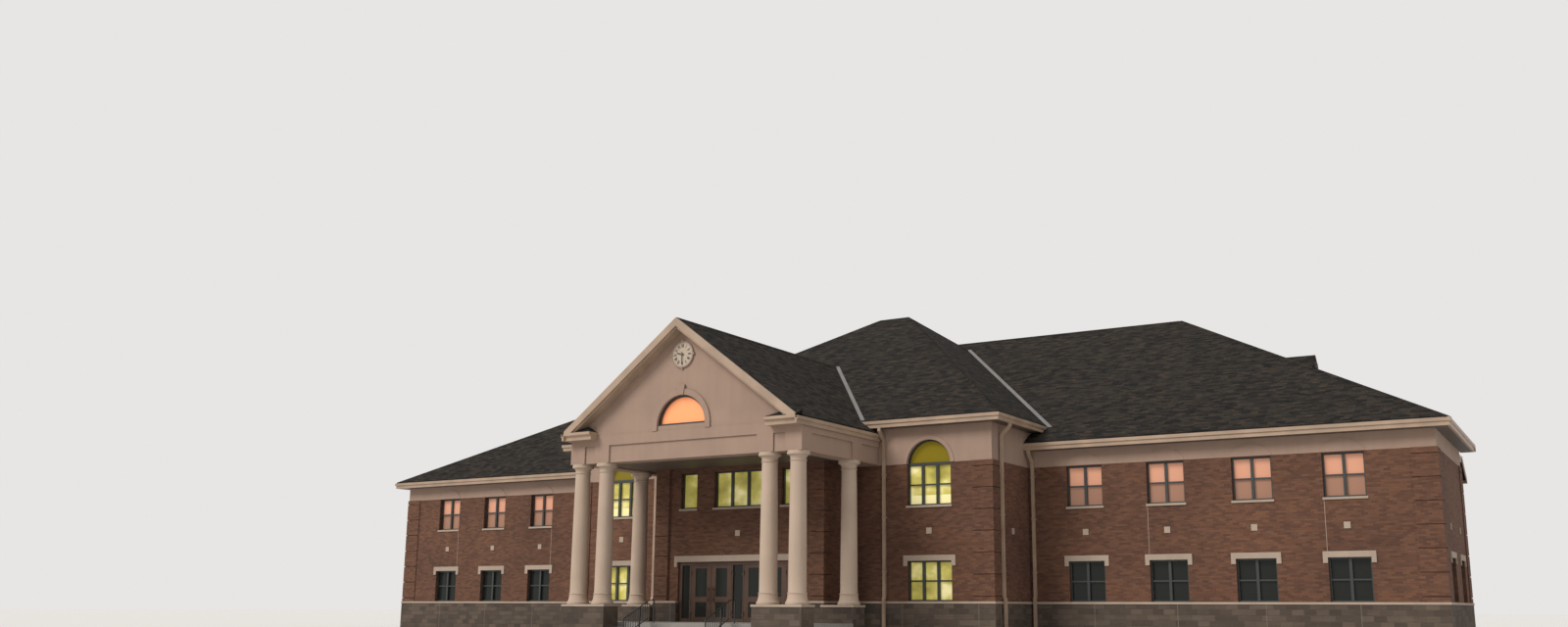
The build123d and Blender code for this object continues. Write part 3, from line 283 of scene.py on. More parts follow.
@dataclass
class Surface:
    """What a finish feeds to the shader."""

    colour: Wire | Colour
    roughness: Wire | float = 0.8
    height: Wire | None = None
    depth: float = 0.002
    metallic: float = 0.0
    coat: float = 0.0
    shine: float = 0.5
    glow: Wire | None = None
    glow_strength: float = 0.0


@dataclass(frozen=True)
class Finish(ABC):
    """One material of the building."""

    slot: Slot

    @abstractmethod
    def surface(self, graph: Graph) -> Surface:
        """The finish's colour, gloss and relief."""

    def make(self) -> Material:
        """Build the material.

        Returns:
            The material, named as its slot.
        """
        material, graph = new_material(self.slot.value)
        look = self.surface(graph)
        colour = look.colour if isinstance(look.colour, Wire) else (*look.colour, 1)
        values = {"Base Color": colour, "Roughness": look.roughness, "Metallic": look.metallic,
                  "Coat Weight": look.coat, "Coat Roughness": 0.1,
                  "Specular IOR Level": look.shine}
        if look.glow is not None:
            values["Emission Color"] = look.glow
            values["Emission Strength"] = look.glow_strength
        if look.height is not None:
            values["Normal"] = graph.node("ShaderNodeBump", {}, {
                "Strength": 0.8, "Distance": look.depth, "Height": look.height})
        shader = graph.node("ShaderNodeBsdfPrincipled", {}, values)
        graph.node("ShaderNodeOutputMaterial", {}, {"Surface": shader})
        return material


@dataclass(frozen=True)
class Masonry(Finish):
    """Brick or stone in courses, with sealed joints at a spacing where there are any."""

    light: Colour
    dark: Colour
    mortar: Colour
    unit: float
    course: float
    joint: float
    relief: float
    control: float = 0.0
    control_half: float = 0.004

    def surface(self, graph: Graph) -> Surface:
        """Lay units of varied colour between recessed joints.

        Args:
            graph: The material's tree.

        Returns:
            What the shader gets.
        """
        across, up = graph.elevation()
        units = graph.node("ShaderNodeTexBrick", {"offset": 0.5}, {
            "Vector": graph.vector(across, up, 0.0), "Color1": (*self.light, 1),
            "Color2": (*self.dark, 1), "Mortar": (*self.mortar, 1), "Scale": 1.0,
            "Mortar Size": self.joint, "Mortar Smooth": 0.2, "Bias": 0.0,
            "Brick Width": self.unit, "Row Height": self.course})
        patches = graph.ramp(graph.noise(0.7), [(0.3, (0.82, 0.82, 0.84)),
                                                (0.7, (1.14, 1.1, 1.06))])
        colour = graph.mix(1.0, units, patches, "MULTIPLY")
        streaks = graph.ramp(graph.noise(1.0, graph.vector(across * 4, up * 26, 0.0)),
                             [(0.35, (0.86, 0.86, 0.86)), (0.65, (1.12, 1.12, 1.12))])
        colour = graph.mix(0.5, colour, streaks, "MULTIPLY")
        if self.control:
            sealed = graph.lines(across, self.control, self.control_half)
            colour = graph.mix(sealed, colour, shade(self.mortar, 1.8))
        grain = graph.noise(60)
        height = (1 - units.other("Fac")) + grain * 0.35
        return Surface(colour, 0.85 + grain * 0.1, height, self.relief, shine=0.25)


@dataclass(frozen=True)
class Plaster(Finish):
    """Stucco, cast stone, limestone or concrete, in panels where it has a width for them."""

    colour: Colour
    mottle: float = 0.12
    grain: float = 90.0
    relief: float = 0.0012
    panel: float = 0.0
    panel_gap_half: float = 0.003

    def surface(self, graph: Graph) -> Surface:
        """Give a mottled sandy face with faint weathering from above.

        Args:
            graph: The material's tree.

        Returns:
            What the shader gets.
        """
        light, dark = shade(self.colour, 1 + self.mottle), shade(self.colour, 1 - self.mottle)
        colour = graph.ramp(graph.noise(1.6), [(0.32, dark), (0.68, light)])
        across, up = graph.elevation()
        wash = graph.ramp(graph.noise(1.0, graph.vector(across * 7, up * 0.6, 0.0)),
                          [(0.3, (0.9, 0.89, 0.87)), (0.65, (1, 1, 1))])
        colour = graph.mix(0.6, colour, wash, "MULTIPLY")
        grain = graph.noise(self.grain, detail=4)
        height = grain
        if self.panel:
            gap = graph.lines(across, self.panel, self.panel_gap_half)
            colour = graph.mix(gap * 0.5, colour, dark)
            height = grain * 0.5 + (1 - gap)
        return Surface(colour, 0.78 + grain * 0.15, height, self.relief)


@dataclass(frozen=True)
class Shingle(Finish):
    """Asphalt shingles in courses of tabs."""

    dark: Colour = (0.016, 0.0155, 0.0155)
    light: Colour = (0.046, 0.039, 0.033)
    gap: Colour = (0.008, 0.008, 0.008)
    exposure: float = 0.036
    tab: float = 0.15

    def surface(self, graph: Graph) -> Surface:
        """Lay charcoal, brown and grey tabs in blended patches.

        Args:
            graph: The material's tree.

        Returns:
            What the shader gets.
        """
        across, up = graph.elevation()
        tabs = graph.node("ShaderNodeTexBrick", {"offset": 0.37, "offset_frequency": 3}, {
            "Vector": graph.vector(across, up, 0.0), "Color1": (*self.dark, 1),
            "Color2": (*self.light, 1), "Mortar": (*self.gap, 1), "Scale": 1.0,
            "Mortar Size": 0.0018, "Mortar Smooth": 0.4, "Bias": 0.0,
            "Brick Width": self.tab, "Row Height": self.exposure})
        blend = graph.noise(1.0, graph.vector(across * 5, up * 13, 0.0), 2)
        tint = graph.ramp(blend, [(0.3, (0.72, 0.8, 0.86)), (0.52, (1.0, 0.98, 0.95)),
                                  (0.7, (1.35, 1.2, 1.05))])
        colour = graph.mix(1.0, tabs, tint, "MULTIPLY")
        step = 1 - (up % self.exposure) / self.exposure
        grit = graph.noise(160, detail=2)
        height = step + grit * 0.4 - tabs.other("Fac") * 0.5
        return Surface(colour, 0.88 + grit * 0.1, height, 0.004, shine=0.05)


@dataclass(frozen=True)
class Paint(Finish):
    """Painted or anodised metal, ribbed where it has a spacing for ribs."""

    colour: Colour
    roughness: float = 0.4
    metallic: float = 0.0
    coat: float = 0.0
    ribs: float = 0.0
    rib_gap_half: float = 0.003

    def surface(self, graph: Graph) -> Surface:
        """Give an even coat with slight wear and dust.

        Args:
            graph: The material's tree.

        Returns:
            What the shader gets.
        """
        worn = graph.noise(2.5, detail=5)
        colour = graph.ramp(worn, [(0.35, shade(self.colour, 0.86)),
                                   (0.65, shade(self.colour, 1.1))])
        height = graph.noise(120, detail=1)
        if self.ribs:
            gap = graph.lines(graph.elevation()[0], self.ribs, self.rib_gap_half)
            colour = graph.mix(gap, colour, shade(self.colour, 0.45))
            height = height * 0.2 + (1 - gap)
        return Surface(colour, self.roughness + worn * 0.15, height, 0.0006, self.metallic,
                       self.coat)


@dataclass(frozen=True)
class ClockFace(Finish):
    """A cream dial inside a stucco ring."""

    dial: Colour = (0.46, 0.375, 0.285)
    ring: Colour = (0.26, 0.18, 0.135)
    radius: float = 0.2275

    def surface(self, graph: Graph) -> Surface:
        """Give the dial's colour inside its radius and the ring's outside it.

        Args:
            graph: The material's tree.

        Returns:
            What the shader gets.
        """
        x, _, z = graph.place()
        reach = graph.node("ShaderNodeVectorMath", {"operation": "LENGTH"},
                           {0: graph.vector(x, 0.0, z - CLOCK_HEIGHT)}, "Value")
        haze = graph.noise(9, detail=4)
        dial = graph.mix(haze, shade(self.dial, 0.85), self.dial)
        colour = graph.mix(reach > self.radius, dial, self.ring)
        return Surface(colour, 0.5 + haze * 0.2, graph.noise(140), 0.0005)


@dataclass(frozen=True)
class Glazing(Finish):
    """Window glass with painted light: painted evening-sky reflections on the upper sashes, painted
    darkness on the lower panes, painted lit rooms in the middle windows, a painted fanlight glow, and
    every pane glowing.
    """

    # Painted reflections: the evening sky on the upper sashes above the meeting rail, and the lower sky
    # below it.
    sky: Colour = (0.52, 0.255, 0.165)
    painted_low_sky_reflection: Colour = (0.27, 0.145, 0.098)
    # Painted darkness of the unlit lower panes.
    painted_unlit_darkness: Colour = (0.013, 0.014, 0.012)
    # Painted room light seen through the middle windows: dim corners, lamps, olive dim light in the
    # arches and bright ceilings.
    corner: Colour = (0.30, 0.26, 0.06)
    lamp: Colour = (0.50, 0.44, 0.11)
    painted_olive_room_light: Colour = (0.17, 0.13, 0.012)
    painted_ceiling_light: Colour = (0.80, 0.72, 0.36)
    # Painted orange glow in the gable's fanlight.
    painted_fanlight_glow: Colour = (0.90, 0.32, 0.14)
    storey: float = 2.2
    arch_foot: float = 3.2
    bright_sill: float = 2.66
    lit_half: float = 4.3
    vestibule_half: float = 3.1
    doorway_half: float = 1.45
    doorway_head: float = 1.5
    fan_foot: float = 3.85
    lit_front: float = FRONT - 1
    fan_front: float = GABLE_FACE + 0.5

    def surface(self, graph: Graph) -> Surface:
        """Paint light on the glass by its storey and its bay: sky reflections, darkness, lit rooms and
        a fanlight glow.

        Args:
            graph: The material's tree.

        Returns:
            What the shader gets.
        """
        x, y, z = graph.place()
        upper = z > self.storey
        # Upper panes get a painted sky reflection above the meeting rail and a painted lower-sky
        # reflection below it; lower panes get painted darkness.
        colour = graph.mix(upper, self.painted_unlit_darkness, graph.mix(z > UPPER_RAIL, self.painted_low_sky_reflection, self.sky))
        # Painted lit rooms behind the middle windows, kept off the doorway.
        room = graph.noise(1.0, graph.vector(x * 2.0, y, z * 2.6), 3)
        lit = graph.ramp(room, [(0.34, self.corner), (0.52, self.lamp),
                                (0.68, self.painted_ceiling_light)])
        # Round-headed upper windows: painted olive room light in the arch, painted bright ceiling light
        # below the sill height.
        round_headed = (abs(x) > self.vestibule_half) * upper
        lit = graph.mix(round_headed * (z > self.arch_foot), lit, self.painted_olive_room_light)
        lit = graph.mix(round_headed * (z < self.bright_sill), lit, self.painted_ceiling_light)
        middle = (abs(x) < self.lit_half) * (y < self.lit_front)
        doorway = (abs(x) < self.doorway_half) * (z < self.doorway_head)
        colour = graph.mix(middle * (1 - doorway), colour, lit)
        # Painted orange glow in the gable's fanlight.
        fan = (z > self.fan_foot) * (y < self.fan_front)
        colour = graph.mix(fan, colour, self.painted_fanlight_glow)
        haze = graph.noise(1.5)
        # Every pane glows with its painted colour, which is painted light, not a lamp.
        return Surface(colour, 0.08 + haze * 0.06, shine=0.18, glow=colour, glow_strength=0.35)


@dataclass(frozen=True)
class Finishes:
    """Every finish, by slot."""

    made: dict[Slot, Material]

    @classmethod
    def build(cls) -> "Finishes":
        """Make all materials.

        Returns:
            The materials by slot.
        """
        finishes = [
            Masonry(Slot.BRICK, light=(0.152, 0.073, 0.044), dark=(0.090, 0.044, 0.029),
                    mortar=(0.115, 0.075, 0.055), unit=0.115, course=0.038, joint=0.0022,
                    relief=0.0025),
            Masonry(Slot.SPLIT_STONE, light=(0.112, 0.085, 0.066), dark=(0.060, 0.047, 0.038),
                    mortar=(0.105, 0.088, 0.072), unit=0.2, course=0.1, joint=0.003,
                    relief=0.012, control=PITCH),
            Plaster(Slot.LIMESTONE, (0.36, 0.285, 0.225), mottle=0.08),
            Plaster(Slot.STUCCO, (0.31, 0.213, 0.162), mottle=0.06, grain=140.0, relief=0.0015),
            Plaster(Slot.CAST_STONE, (0.43, 0.33, 0.255), mottle=0.05),
            Plaster(Slot.CONCRETE, (0.26, 0.245, 0.225), panel=1.2),
            Shingle(Slot.SHINGLES),
            Paint(Slot.EAVE_PAINT, (0.345, 0.245, 0.172), roughness=0.42),
            # Soffit paint: a dark colour that is painted shade of the undersides, shared by the portico
            # ceiling and the vent louvres; its dark rib gaps are joints.
            Paint(Slot.SOFFIT_PAINT, (0.092, 0.068, 0.052), roughness=0.5, ribs=0.15),
            Paint(Slot.FLASHING, (0.175, 0.165, 0.16), roughness=0.45, metallic=0.2),
            Paint(Slot.WINDOW_FRAME, (0.022, 0.027, 0.026), roughness=0.35, coat=0.2),
            Glazing(Slot.WINDOW_GLASS),
            Paint(Slot.DOOR_FRAME, (0.085, 0.048, 0.032), roughness=0.32, metallic=0.4),
            Paint(Slot.RAIL_METAL, (0.018, 0.018, 0.018), roughness=0.38, coat=0.2),
            ClockFace(Slot.CLOCK_FACE),
            Paint(Slot.CLOCK_HANDS, (0.012, 0.012, 0.012), roughness=0.35),
        ]
        return cls({finish.slot: finish.make() for finish in finishes})

    def dress_solids(self, record: dict) -> None:
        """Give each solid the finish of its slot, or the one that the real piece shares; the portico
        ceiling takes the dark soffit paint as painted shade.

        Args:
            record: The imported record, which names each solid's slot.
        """
        # The portico ceiling gets the dark soffit paint as painted shade; the other shared finishes are
        # the pieces' own colours.
        shared = {"lunette_trim": Slot.STUCCO, "roof_vents": Slot.SHINGLES,
                  "portico_ceiling": Slot.SOFFIT_PAINT, "raking_cornice": Slot.EAVE_PAINT,
                  "cornice_returns": Slot.EAVE_PAINT}
        for part in record["subparts"]:
            materials = frame["nodes"][part["node"]].data.materials
            materials.clear()
            materials.append(self.made[shared.get(part["node"], Slot(part["material_slot"]))])


class Maker:
    """Builds one mesh of simple solids."""

    def __init__(self) -> None:
        """Start with nothing."""
        self.mesh = bmesh.new()

    def box(self, low: Point, high: Point) -> None:
        """Add a box between its lowest and its highest corner."""
        middle, size = (Vector(low) + Vector(high)) / 2, Vector(high) - Vector(low)
        self.cube(Matrix.Translation(middle) @ Matrix.Diagonal((*size, 1)))

    def cube(self, matrix: Matrix) -> None:
        """Add a unit cube at a place and size."""
        bmesh.ops.create_cube(self.mesh, size=1, matrix=matrix)

    def faces(self, corners: list[Point], loops: list[tuple[int, ...]]) -> None:
        """Add a solid face by face.

        Args:
            corners: Its corners.
            loops: The corners of each face, by number.
        """
        verts = [self.mesh.verts.new(corner) for corner in corners]
        for loop in loops:
            self.mesh.faces.new([verts[i] for i in loop])

    def between(self, near: list[Point], far: list[Point]) -> None:
        """Add a solid between two outlines.

        Args:
            near: The first outline.
            far: The second, corner for corner.
        """
        count = len(near)
        sides = [(i, (i + 1) % count, count + (i + 1) % count, count + i) for i in range(count)]
        self.faces(near + far, [tuple(range(count)), tuple(range(count, 2 * count)), *sides])

    def prism(self, plan: list[Spot], bottom: float, top: float) -> None:
        """Add an upright prism over a plan."""
        self.between([(x, y, bottom) for x, y in plan], [(x, y, top) for x, y in plan])

    def sweep(self, section: list[Point], reach: Vector) -> None:
        """Add a flat outline carried along a straight line."""
        self.between(section, [tuple(Vector(corner) + reach) for corner in section])

    def turned(self, profile: list[Spot], centre: Point, segments: int) -> None:
        """Add a solid of revolution about an upright axis.

        Args:
            profile: Radius and height, from the foot up.
            centre: The middle of its foot.
            segments: How many sides it has.
        """
        x, y, foot = centre
        rings = [[self.mesh.verts.new((x + radius * cos(tau * k / segments),
                                       y + radius * sin(tau * k / segments), foot + height))
                  for k in range(segments)] for radius, height in profile]
        for low, high in zip(rings, rings[1:]):
            for k in range(segments):
                n = (k + 1) % segments
                self.mesh.faces.new((low[k], low[n], high[n], high[k]))
        self.mesh.faces.new(rings[0])
        self.mesh.faces.new(rings[-1])

    def shape(self, name: str) -> Mesh:
        """Turn the solids into a mesh whose faces point outwards.

        Args:
            name: The mesh's name.

        Returns:
            The mesh, without a finish.
        """
        bmesh.ops.recalc_face_normals(self.mesh, faces=self.mesh.faces)
        data = bpy.data.meshes.new(name)
        self.mesh.to_mesh(data)
        self.mesh.free()
        return data


def link(name: str, data: ID) -> Object:
    """Put a mesh, a curve, a lamp or a camera in the scene.

    Args:
        name: The object's name.
        data: What it shows.

    Returns:
        The object.
    """
    piece = bpy.data.objects.new(name, data)
    bpy.context.scene.collection.objects.link(piece)
    return piece


def plain_mesh(piece: Object) -> Mesh:
    """Turn an object as it stands into a plain mesh.

    Args:
        piece: The object, which is then removed.

    Returns:
        The mesh.
    """
    graph = bpy.context.evaluated_depsgraph_get()
    mesh = bpy.data.meshes.new_from_object(piece.evaluated_get(graph))
    bpy.data.objects.remove(piece)
    return mesh


@dataclass(frozen=True)
class Row:
    """Copies in a straight line: how many, where the first stands, the way on, and their turn."""

    count: int
    start: Point
    step: Point
    turn: Point = (0, 0, 0)


class Repeater:
    """A Geometry Nodes tree that sets copies of one small mesh along a straight line."""

    def __init__(self) -> None:
        """Build the tree with its named inputs."""
        self.tree = bpy.data.node_groups.new("row_of_pieces", "GeometryNodeTree")
        face = self.tree.interface
        kinds = {"Piece": "Object", "Count": "Int", "Start": "Vector", "Step": "Vector",
                 "Turn": "Vector", "Finish": "Material"}
        self.keys = {label: face.new_socket(label, in_out="INPUT",
                                            socket_type=f"NodeSocket{kind}").identifier
                     for label, kind in kinds.items()}
        face.new_socket("Geometry", in_out="OUTPUT", socket_type="NodeSocketGeometry")
        graph = Graph(self.tree)
        given = graph.node("NodeGroupInput")
        line = graph.node("GeometryNodeMeshLine", {"mode": "OFFSET"}, {
            "Count": given.other("Count"), "Start Location": given.other("Start"),
            "Offset": given.other("Step")})
        piece = graph.node("GeometryNodeObjectInfo", {}, {"Object": given.other("Piece")},
                           "Geometry")
        copies = graph.node("GeometryNodeInstanceOnPoints", {}, {
            "Points": line, "Instance": piece, "Rotation": given.other("Turn")})
        real = graph.node("GeometryNodeRealizeInstances", {}, {"Geometry": copies})
        painted = graph.node("GeometryNodeSetMaterial", {}, {
            "Geometry": real, "Material": given.other("Finish")})
        graph.node("NodeGroupOutput", {}, {"Geometry": painted})

    def row(self, piece: Object, row: Row, material: Material) -> Mesh:
        """Make one row.

        Args:
            piece: The small piece, about the origin.
            row: Where its copies stand.
            material: Their finish.

        Returns:
            A plain mesh of the whole row.
        """
        carrier = link("row_carrier", bpy.data.meshes.new("row_carrier"))
        modifier = carrier.modifiers.new("Row", "NODES")
        modifier.node_group = self.tree
        values = {"Piece": piece, "Count": row.count, "Start": row.start, "Step": row.step,
                  "Turn": row.turn, "Finish": material}
        for label, value in values.items():
            modifier[self.keys[label]] = value
        return plain_mesh(carrier)


@dataclass
class Assembly(ABC):
    """One part of the building that is built and dressed together."""

    finishes: Finishes
    repeater: Repeater
    name: str
    slot: Slot

    @abstractmethod
    def meshes(self) -> list[Mesh]:
        """Make the meshes that the piece is joined from."""

    def keep(self, name: str, data: Mesh) -> Object:
        """Dress a mesh, fix it to the building and name its slot.

        Args:
            name: The piece's name.
            data: Its mesh.

        Returns:
            The piece.
        """
        data.materials.clear()
        data.materials.append(self.finishes.made[self.slot])
        piece = link(name, data)
        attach(piece, "building")
        return piece

    def build(self) -> list[Object]:
        """Join the meshes into one piece.

        Returns:
            A list of the piece.
        """
        whole = bmesh.new()
        for mesh in self.meshes():
            whole.from_mesh(mesh)
            bpy.data.meshes.remove(mesh)
        data = bpy.data.meshes.new(self.name)
        whole.to_mesh(data)
        whole.free()
        return [self.keep(self.name, data)]

    def repeat(self, maker: Maker, rows: list[Row]) -> list[Mesh]:
        """Set rows of one small piece.

        Args:
            maker: The small piece's solids, about the origin.
            rows: Where its copies stand.

        Returns:
            One mesh a row.
        """
        piece = link("small_piece", maker.shape("small_piece"))
        meshes = [self.repeater.row(piece, row, self.finishes.made[self.slot]) for row in rows]
        bpy.data.objects.remove(piece)
        return meshes


def block(size: Point) -> Maker:
    """Begin with a block about the origin.

    Args:
        size: Its three sides.

    Returns:
        The maker that holds it.
    """
    maker = Maker()
    maker.box(tuple(-side / 2 for side in size), tuple(side / 2 for side in size))
    return maker


@dataclass
class Columns(Assembly):
    """The six round columns of the portico, smooth, with rounded mouldings.

    Outlines are pairs of a radius and a height, up from the foot or down from the top.
    """

    name: str = "turned_columns"
    slot: Slot = Slot.CAST_STONE
    foot: float = 0.655
    height: float = 2.607
    segments: int = 64
    sharp_angle: float = 35
    spots: tuple[Spot, ...] = ((1.834, FRONT - 4.353), (2.424, FRONT - 4.353),
                               (2.424, FRONT - 2.602))
    plinth: tuple[Spot, ...] = ((0.200, 0), (0.205, 0.004), (0.205, 0.040), (0.200, 0.044))
    bell_radius: float = 0.166
    bell_flare: float = 0.030
    bell_foot: float = 0.048
    bell_round: float = 0.060
    bell_rise: float = 0.07
    collar: tuple[Spot, ...] = ((0.166, 0.182), (0.172, 0.184), (0.176, 0.190), (0.172, 0.198),
                                (0.160, 0.201))
    shaft_radius: float = 0.158
    shaft_taper: float = 0.020
    shaft_curve: float = 1.6
    shaft_foot: float = 0.204
    shaft_less: float = 0.378
    neck: tuple[Spot, ...] = ((0.148, 0.172), (0.152, 0.165), (0.148, 0.158), (0.139, 0.155),
                              (0.139, 0.134))
    cushion_radius: float = 0.141
    cushion_flare: float = 0.049
    cushion_drop: float = 0.132
    cushion_rise: float = 0.066
    abacus: tuple[Spot, ...] = ((0.197, 0.064), (0.200, 0.060), (0.200, 0.004), (0.197, 0))

    def profile(self) -> list[Spot]:
        """Draw a column from its plinth up to the round abacus.

        Returns:
            Radius and height of each point.
        """
        points = list(self.plinth)
        for k in range(7):
            turn = k / 6 * pi / 2
            points.append((self.bell_radius + self.bell_flare * (1 - sin(turn)),
                           self.bell_foot + self.bell_round * (1 - cos(turn))
                           + self.bell_rise * k / 6))
        points += self.collar
        for k in range(9):
            share = k / 8
            points.append((self.shaft_radius - self.shaft_taper * share ** self.shaft_curve,
                           self.shaft_foot + (self.height - self.shaft_less) * share))
        points += [(radius, self.height - drop) for radius, drop in self.neck]
        for k in range(1, 7):
            turn = k / 6 * pi / 2
            points.append((self.cushion_radius + self.cushion_flare * (1 - cos(turn)),
                           self.height - self.cushion_drop + self.cushion_rise * sin(turn)))
        points += [(radius, self.height - drop) for radius, drop in self.abacus]
        return points

    def meshes(self) -> list[Mesh]:
        """Turn three columns a side.

        Returns:
            One mesh a side, smooth between its sharp edges.
        """
        sides = []
        for side in SIDES:
            maker = Maker()
            for x, y in self.spots:
                maker.turned(self.profile(), (side * x, y, self.foot), self.segments)
            sides.append(maker.shape(self.name))
            sides[-1].shade_smooth()
            sides[-1].set_sharp_from_angle(angle=radians(self.sharp_angle))
        return sides

    def build(self) -> list[Object]:
        """Set the columns in place of the plain ones.

        Returns:
            The left and the right three.
        """
        pieces = []
        for label, data in zip(("left", "right"), self.meshes()):
            piece = self.keep(f"{label}_{self.name}", data)
            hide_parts(f"{label}_portico_columns")
            pieces.append(piece)
        return pieces


@dataclass
class Piers(Assembly):
    """The rusticated brick piers at the corners."""

    name: str = "rusticated_piers"
    slot: Slot = Slot.BRICK
    width: float = 0.42
    vestibule_width: float = 0.315
    vestibule_half: float = 1.93
    proud: float = 0.018
    groove: float = 0.016
    spacing: float = 0.388
    first_groove: float = 0.815
    last_course: float = 0.05
    most_grooves: int = 20
    reveal: float = 0.014

    def plan(self, corner: Spot, inward: tuple[int, int], width: float,
             proud: float) -> list[Spot]:
        """Draw the L-shaped plan round one corner.

        Args:
            corner: Where the two walls meet.
            inward: Which way along X and Y the walls run.
            width: How far the pier runs along each.
            proud: How far it stands out.

        Returns:
            The six corners of the plan.
        """
        (x, y), (dx, dy) = corner, inward
        return [(x - dx * proud, y - dy * proud), (x + dx * width, y - dy * proud),
                (x + dx * width, y + dy * WALL), (x + dx * WALL, y + dy * WALL),
                (x + dx * WALL, y + dy * width), (x - dx * proud, y + dy * width)]

    def courses(self, top: float) -> list[float]:
        """The middle heights of the grooves, between the foot and the top."""
        grooves = [self.first_groove + self.spacing * k for k in range(self.most_grooves)]
        return [CAP_TOP, *(z for z in grooves if z < top - self.last_course), top]

    def meshes(self) -> list[Mesh]:
        """Stack the courses of each pier with open grooves between.

        Returns:
            All the piers in one mesh.
        """
        maker = Maker()
        half = self.groove / 2
        corners = [((HALF_LENGTH, FRONT), (-1, 1), self.width, BRICK_TOP),
                   ((HALF_LENGTH, END_REAR), (-1, -1), self.width, BRICK_TOP),
                   ((SIDE_FACE, REAR), (-1, -1), self.width, BRICK_TOP),
                   ((HALF_BLOCK, BLOCK_FRONT), (-1, 1), self.width, BRICK_TOP),
                   ((self.vestibule_half, VESTIBULE_FRONT), (-1, 1), self.vestibule_width,
                    VESTIBULE_TOP)]
        for corner, inward, width, top in corners:
            edges = self.courses(top)
            for side in SIDES:
                place, turn = (side * corner[0], corner[1]), (side * inward[0], inward[1])
                maker.prism(self.plan(place, turn, width, 0.0), CAP_TOP, top)
                for low, high in zip(edges, edges[1:]):
                    maker.prism(self.plan(place, turn, width - self.reveal, self.proud),
                                low + (half if low > CAP_TOP else 0),
                                high - (half if high < top else 0))
        return [maker.shape(self.name)]

    def build(self) -> list[Object]:
        """Set the piers in place of the plain ones.

        Returns:
            A list of the piece.
        """
        (piece,) = super().build()
        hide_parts("corner_piers")
        return [piece]


@dataclass
class Sashes(Assembly):
    """The meeting rails of the sliding sashes inside the window frames."""

    name: str = "meeting_rails"
    slot: Slot = Slot.WINDOW_FRAME
    rail: float = 0.028
    depth: float = 0.034
    inset: float = 0.087
    opening: float = 0.635
    block_opening: float = 0.844
    block_window: float = 3.611
    block_rails: tuple[float, float] = (1.090, 2.850)
    side_row: float = 5.029
    end_row: float = 1.16
    wing_windows: int = 4
    end_windows: int = 2
    rear_windows: int = 14

    def across(self, rows: list[Row], width: float) -> list[Mesh]:
        """Rails of one width in walls that face front or rear."""
        return self.repeat(block((width, self.depth, self.rail)), rows)

    def meshes(self) -> list[Mesh]:
        """Set a meeting rail across every sliding sash.

        Returns:
            One mesh a row of windows.
        """
        rails = (LOWER_RAIL, UPPER_RAIL)
        front, rear = FRONT + self.inset, REAR - self.inset
        side_x, end_x = SIDE_FACE - self.inset, HALF_LENGTH - self.inset
        along, back = (PITCH, 0, 0), (0, PITCH, 0)
        wings, sides, blocks = [], [], []
        for side in SIDES:
            for height in rails:
                wings.append(Row(self.wing_windows, (side * FIRST_WINDOW, front, height),
                                 (side * PITCH, 0, 0)))
                sides.append(Row(self.wing_windows,
                                 (side * side_x, FRONT + self.side_row, height), back))
            sides.append(Row(self.end_windows,
                             (side * end_x, FRONT + self.end_row, LOWER_RAIL), back))
            for height in self.block_rails:
                blocks.append(Row(1, (side * self.block_window, BLOCK_FRONT + self.inset, height),
                                  (1, 0, 0)))
        first = -(self.rear_windows - 1) / 2 * PITCH
        wings += [Row(self.rear_windows, (first, rear, height), along) for height in rails]
        return [*self.across(wings, self.opening), *self.across(blocks, self.block_opening),
                *self.repeat(block((self.depth, self.opening, self.rail)), sides)]


@dataclass(frozen=True)
class RoofLine:
    """A ridge or hip, and how fast the roof falls to its sides."""

    start: Point
    end: Point
    fall: float


